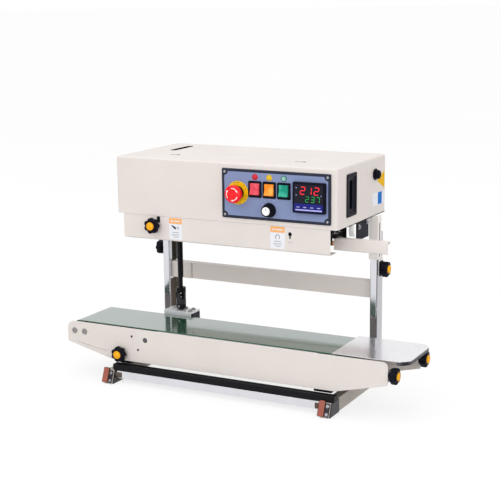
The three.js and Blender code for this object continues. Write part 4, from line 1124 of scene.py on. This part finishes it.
def speed_dial():
    """The fluted speed knob with its white cap and pointer, and the printed scale round it."""
    box = Place("speed_knob")
    at = Vector((box.mid.x, PANEL.high.y - 3, box.mid.z))
    rise = at.y - box.low.y
    flutes = lobes(24, 0.055)
    grip = Shape().turned([
        (0, -14), (4, -14), (4, 0), (16.9, 0), (17.4, 0.5), (17.4, 2.4), (16.8, 3.2), (15.9, 3.9),
        (15.2, 5.0, flutes), (14.2, 17.6, flutes), (13.6, 18.9, flutes), (12.4, 19.6), (10.6, 19.7),
        (10.3, 19.2), (0, 19.2),
    ], at, FRONT, 144)
    grip.piece("speed_knob_grip", BLACK, "speed_knob", replaces="speed_knob", flat=40)
    cap = [(0, 19.25), (10.1, 19.25), (10.1, 19.8), (9.7, rise - 0.1), (9.0, rise), (0, rise)]
    Shape().turned(cap, at, FRONT).piece("speed_knob_cap", WHITE, "speed_knob", flat=40)
    y = at.y - rise
    outline = rounded(at.x - 0.6, at.x + 0.6, at.z + 1.0, at.z + 7.6, 0.5, 2)
    Shape().slab(outline, "y", y - 0.05, y + 0.3).piece("speed_knob_pointer", DARK_INK, "speed_knob")
    y = PANEL_FRONT - 0.35
    scale, middle = Shape(), Vector((at.x, at.z))
    for k in range(11):
        angle = math.radians(225 - 27 * k)
        along = Vector((math.cos(angle), math.sin(angle)))
        across = Vector((-along.y, along.x)) * 0.35
        near, far = middle + along * 20.6, middle + along * (23.4 if k % 5 else 24.8)
        scale.slab([near - across, far - across, far + across, near + across], "y", y - 0.05, y + 0.1)
    for cx, cz in arc(at.x, at.z, 29, 66, 114, 2):
        scale.slab(band_arc(cx, cz, 3.9, 3.2, 0, 350, 18), "y", y - 0.05, y + 0.1)
    scale.piece("speed_scale", PALE_INK)


SEGMENTS = {"1": "bc", "2": "abdeg", "3": "abcdg", "7": "abc"}


def digit(shape, kind, x, z, width, height, y0, y1):
    """A leaning seven-segment digit with its lower left corner at x, z."""
    t, h, lean = 0.115 * width, height / 2, 0.08
    bars = {
        "a": (t, height, width - t, height), "g": (t, h, width - t, h), "d": (t, 0, width - t, 0),
        "b": (width, h + t, width, height - t), "c": (width, t, width, h - t), "e": (0, t, 0, h - t),
    }
    for name in SEGMENTS[kind]:
        a, b = Vector(bars[name][:2]), Vector(bars[name][2:])
        along = (b - a).normalized() * t * 0.7
        across = Vector((-along.y, along.x)) * 1.1
        outline = [a - along, a + across, b + across, b + along, b - across, a - across]
        shape.slab([(x + p.x + lean * p.y, z + p.y) for p in outline], "y", y0, y1)


def controller_face():
    """The temperature controller: bezel, dark window, two rows of digits, lamps and a key strip."""
    low, high = METER.low, METER.high
    front, seat = low.y, PANEL.low.y + 2.7
    rings = []
    for inset, corner, y in (
        (4.5, 1, high.y), (4.5, 1, seat), (0, 2.5, seat), (0, 2.5, front + 1.6),
        (0.9, 2.5, front), (3.2, 2, front), (4.2, 2, front + 1.3),
    ):
        outline = rounded(low.x + inset, high.x - inset, low.z + inset, high.z - inset, corner)
        rings.append([lift(p, "y", y) for p in outline])
    Shape().loft(rings).piece("controller_case", BLACK, replaces="temperature_controller")
    face, x0, x1, z0 = front + 1.3, low.x + 4.6, high.x - 4.6, low.z
    window = Shape().tile("y", x0, x1, z0 + 23, high.z - 4.6, face - 0.5, face + 0.1, 1.5)
    window.piece("controller_window", SCREEN)
    strip = Shape().tile("y", x0, x1, z0 + 4.6, z0 + 22.4, face - 0.6, face + 0.1, 1.5)
    strip.piece("controller_key_strip", NAVY_KEYS)
    ink = Shape().tile("y", x0 + 3, x1 - 3, z0 + 6.2, z0 + 9.2, face - 0.7, face - 0.6, 0.8)
    keys = Shape()
    for cx in [x0 + 10 + 17.5 * k for k in range(4)]:
        ink.tile("y", cx - 4, cx + 4, z0 + 13.4, z0 + 15.2, face - 1.5, face - 1.4, 0.8)
        keys.tile("y", cx - 6.4, cx + 6.4, z0 + 11, z0 + 18, face - 1.4, face - 0.6, 2)
    for dx, dz in ((4, 58), (4, 41), (67, 42)):
        x, z = x0 + dx, z0 + dz
        ink.tile("y", x, x + 2.6, z, z + 2, face - 0.6, face - 0.5, 0.9)
    ink.piece("controller_marks", PALE_INK)
    keys.piece("controller_keys", NAVY_KEYS, bevel=0.3)
    for name, look, lift_z, width, height, row in (
        ("upper", RED_DIGIT, 44.5, 11, 17, ((20, "2"), (36.5, "1"), (55, "2"))),
        ("lower", GREEN_DIGIT, 27, 8, 12.5, ((33, "2"), (47, "3"), (60, "7"))),
    ):
        reading = Shape()
        for start, kind in row:
            digit(reading, kind, low.x + start, z0 + lift_z, width, height, face - 0.62, face - 0.5)
        reading.piece(f"{name}_reading", look)


# ------------------------------------------------------------------ carried-over CAD nodes
BEVELS = {
    "left_post": 3, "right_post": 3, "front_rail": 1.5, "sill_rail": 1.2, "rear_rail": 1.5, "crossbar": 0.7,
    "left_sleeve": 0.8, "right_sleeve": 0.8, "gear_motor": 1.5, "slider_bed": 1, "left_carrier": 1.5,
    "right_carrier": 1.5, "gearbox_bracket": 0.8, "side_plate": 0.6,
}
LOOKS = {
    "infeed_tray": TRAY_STEEL, "gearbox_bracket": SATIN_PLATE, "bevel_shaft": OXIDE,
    "drive_drum": SHADED_STEEL, "left_sleeve": LIT_SLEEVE_CREAM, "right_sleeve": LIT_SLEEVE_CREAM,
}


def carry_over(node, obj):
    """Gives a CAD node that is still shown its material and softened edges."""
    data = obj.data
    data.materials.clear()
    data.materials.append(LOOKS.get(node, SLOT_LOOKS[SLOT_OF[node]]))
    data.shade_smooth()
    for layer in ("custom_normal", "sharp_edge"):
        if layer in data.attributes:
            data.attributes.remove(data.attributes[layer])
    weld = obj.modifiers.new("weld", "WELD")
    weld.merge_threshold = 0.002 * MM
    flat = obj.modifiers.new("flat", "DECIMATE")
    flat.decimate_type = "DISSOLVE"
    flat.angle_limit = math.radians(0.5)
    soften(obj, BEVELS.get(node, 0.5), 3)


# ------------------------------------------------------------------ studio
FLOOR_SHARE = 0.22  # how much of the seen floor takes light and shadow
FLOOR_GLOW = 0.80
FOCAL_PIXELS = 1230.03
IMAGE_SIDE = 500
YAW, PITCH, ROLL = (math.radians(a) for a in (27.506, 11.693, 0.589))
EYE = (1.3809, -2.6659, 0.9632)
LIGHTS = {  # place, size and power
    "key": ((-1.2, -2.6, 2.6), 2.2, 18), "fill": ((2.8, -1.2, 1.4), 1.8, 20),
    "low": ((0.4, -3.0, 0.8), 1.6, 14), "top": ((0, 0.4, 3.2), 3.0, 12),
}


def pale_floor():
    """A floor that looks near white to the camera and takes a soft shadow."""
    reach, top = 200 / MM, -0.2
    floor = Shape().block((-reach, -reach, top - 10), (reach, reach, top)).mesh("floor")
    look = Look("pale_floor")
    rays = look.add("LightPath").outputs
    seen, mirrored = rays["Is Camera Ray"], rays["Is Glossy Ray"]
    incoming = look.add("NewGeometry").outputs["Incoming"]
    outward = look.add("VectorMath", {0: incoming, "Scale": -1.0}, operation="SCALE").outputs["Vector"]
    tone = look.blend(look.noise(0.8, 2), (0.97, 0.97, 0.97, 1), (1.0, 1.0, 1.0, 1))
    lit = look.spread(seen, 0.55, FLOOR_SHARE, 0.0, 1.0)
    lit = look.math("MULTIPLY", lit, look.spread(mirrored, 1.0, 0.0, 0.0, 1.0))
    base = look.add("VectorMath", {0: tone, "Scale": lit}, operation="SCALE").outputs["Vector"]
    shown = look.math("MULTIPLY", mirrored, look.studio_tone(outward))
    glow = look.math("ADD", look.math("MULTIPLY", seen, FLOOR_GLOW), look.math("MULTIPLY", shown, 0.9))
    look.finish(
        Base_Color=base, Roughness=0.8, Specular_IOR_Level=0.0, Emission_Color=tone, Emission_Strength=glow,
    )
    floor.data.materials.append(look.material)


def soft_light():
    """Even light from the sky, a shaped studio for mirrors to show, and four large lamps."""
    world = bpy.data.worlds.new("studio")
    bpy.context.scene.world = world
    world.use_nodes = True
    sky = Graph(world.node_tree)
    rays = sky.add("LightPath").outputs
    direction = sky.add("TexCoord").outputs["Generated"]
    soft = sky.add("Background", {"Color": (1.0, 0.995, 0.985, 1), "Strength": 0.90})
    mirror = sky.add("Background", {"Color": (0.985, 0.99, 1.0, 1), "Strength": sky.studio_tone(direction)})
    backdrop = sky.add("Background", {"Color": (1, 1, 1, 1), "Strength": 1.0})
    glossy = sky.add("MixShader", {0: rays["Is Glossy Ray"], 1: soft.outputs[0], 2: mirror.outputs[0]})
    seen = sky.add("MixShader", {0: rays["Is Camera Ray"], 1: glossy.outputs[0], 2: backdrop.outputs[0]})
    sky.feed(world.node_tree.nodes["World Output"].inputs["Surface"], seen.outputs[0])
    for name, (place, size, power) in LIGHTS.items():
        light = bpy.data.lights.new(name, "AREA")
        light.energy = power
        light.size = size
        lit = bpy.data.objects.new(name, light)
        lit.location = place
        lit.rotation_euler = (Vector((0, 0, 0.3)) - Vector(place)).to_track_quat("-Z", "Y").to_euler()
        bpy.context.scene.collection.objects.link(lit)


def camera():
    """A camera at the photograph's angle."""
    ahead = Vector((-math.sin(YAW) * math.cos(PITCH), math.cos(YAW) * math.cos(PITCH), -math.sin(PITCH)))
    right = Vector((math.cos(YAW), math.sin(YAW), 0))
    down = ahead.cross(right)
    tilted_right = math.cos(ROLL) * right + math.sin(ROLL) * down
    tilted_down = -math.sin(ROLL) * right + math.cos(ROLL) * down
    lens = bpy.data.cameras.new("camera")
    lens.sensor_width = 36
    lens.lens = FOCAL_PIXELS / IMAGE_SIDE * lens.sensor_width
    lens.clip_end = 100
    eye = bpy.data.objects.new("camera", lens)
    rotation = Matrix((tilted_right, -tilted_down, -ahead)).transposed()
    eye.matrix_world = Matrix.Translation(EYE) @ rotation.to_4x4()
    bpy.context.scene.collection.objects.link(eye)
    bpy.context.scene.camera = eye
    bpy.context.scene.view_settings.view_transform = "Standard"


# ------------------------------------------------------------------ assembly
for knob, direction in KNOB_AXES.items():
    star_knob(knob, direction)
head_shell()
guard_sheet()
guide_rail()
feed_in()
front_plate()
rollers()
for side, inward in (("left", 1), ("right", -1)):
    post_details(side, inward)
    foot(side, inward)
crossbar_end()
gearbox()
top_opening_shade()
tray_edge()
head_details()
handle_frame()
stickers()
panel_plate()
for node, look in ROCKERS.items():
    rocker(node, look)
lamp("rocker_red", "red", RED_LAMP, RED_LAMP)
lamp("rocker_orange", "yellow", YELLOW_LAMP, YELLOW_LAMP)
lamp("rocker_green", "green", GREEN_LAMP, LAMP_CENTRE)
emergency_stop()
speed_dial()
controller_face()
belts()
for node, obj in frame["nodes"].items():
    if not obj.hide_render:
        carry_over(node, obj)
pale_floor()
soft_light()
camera()
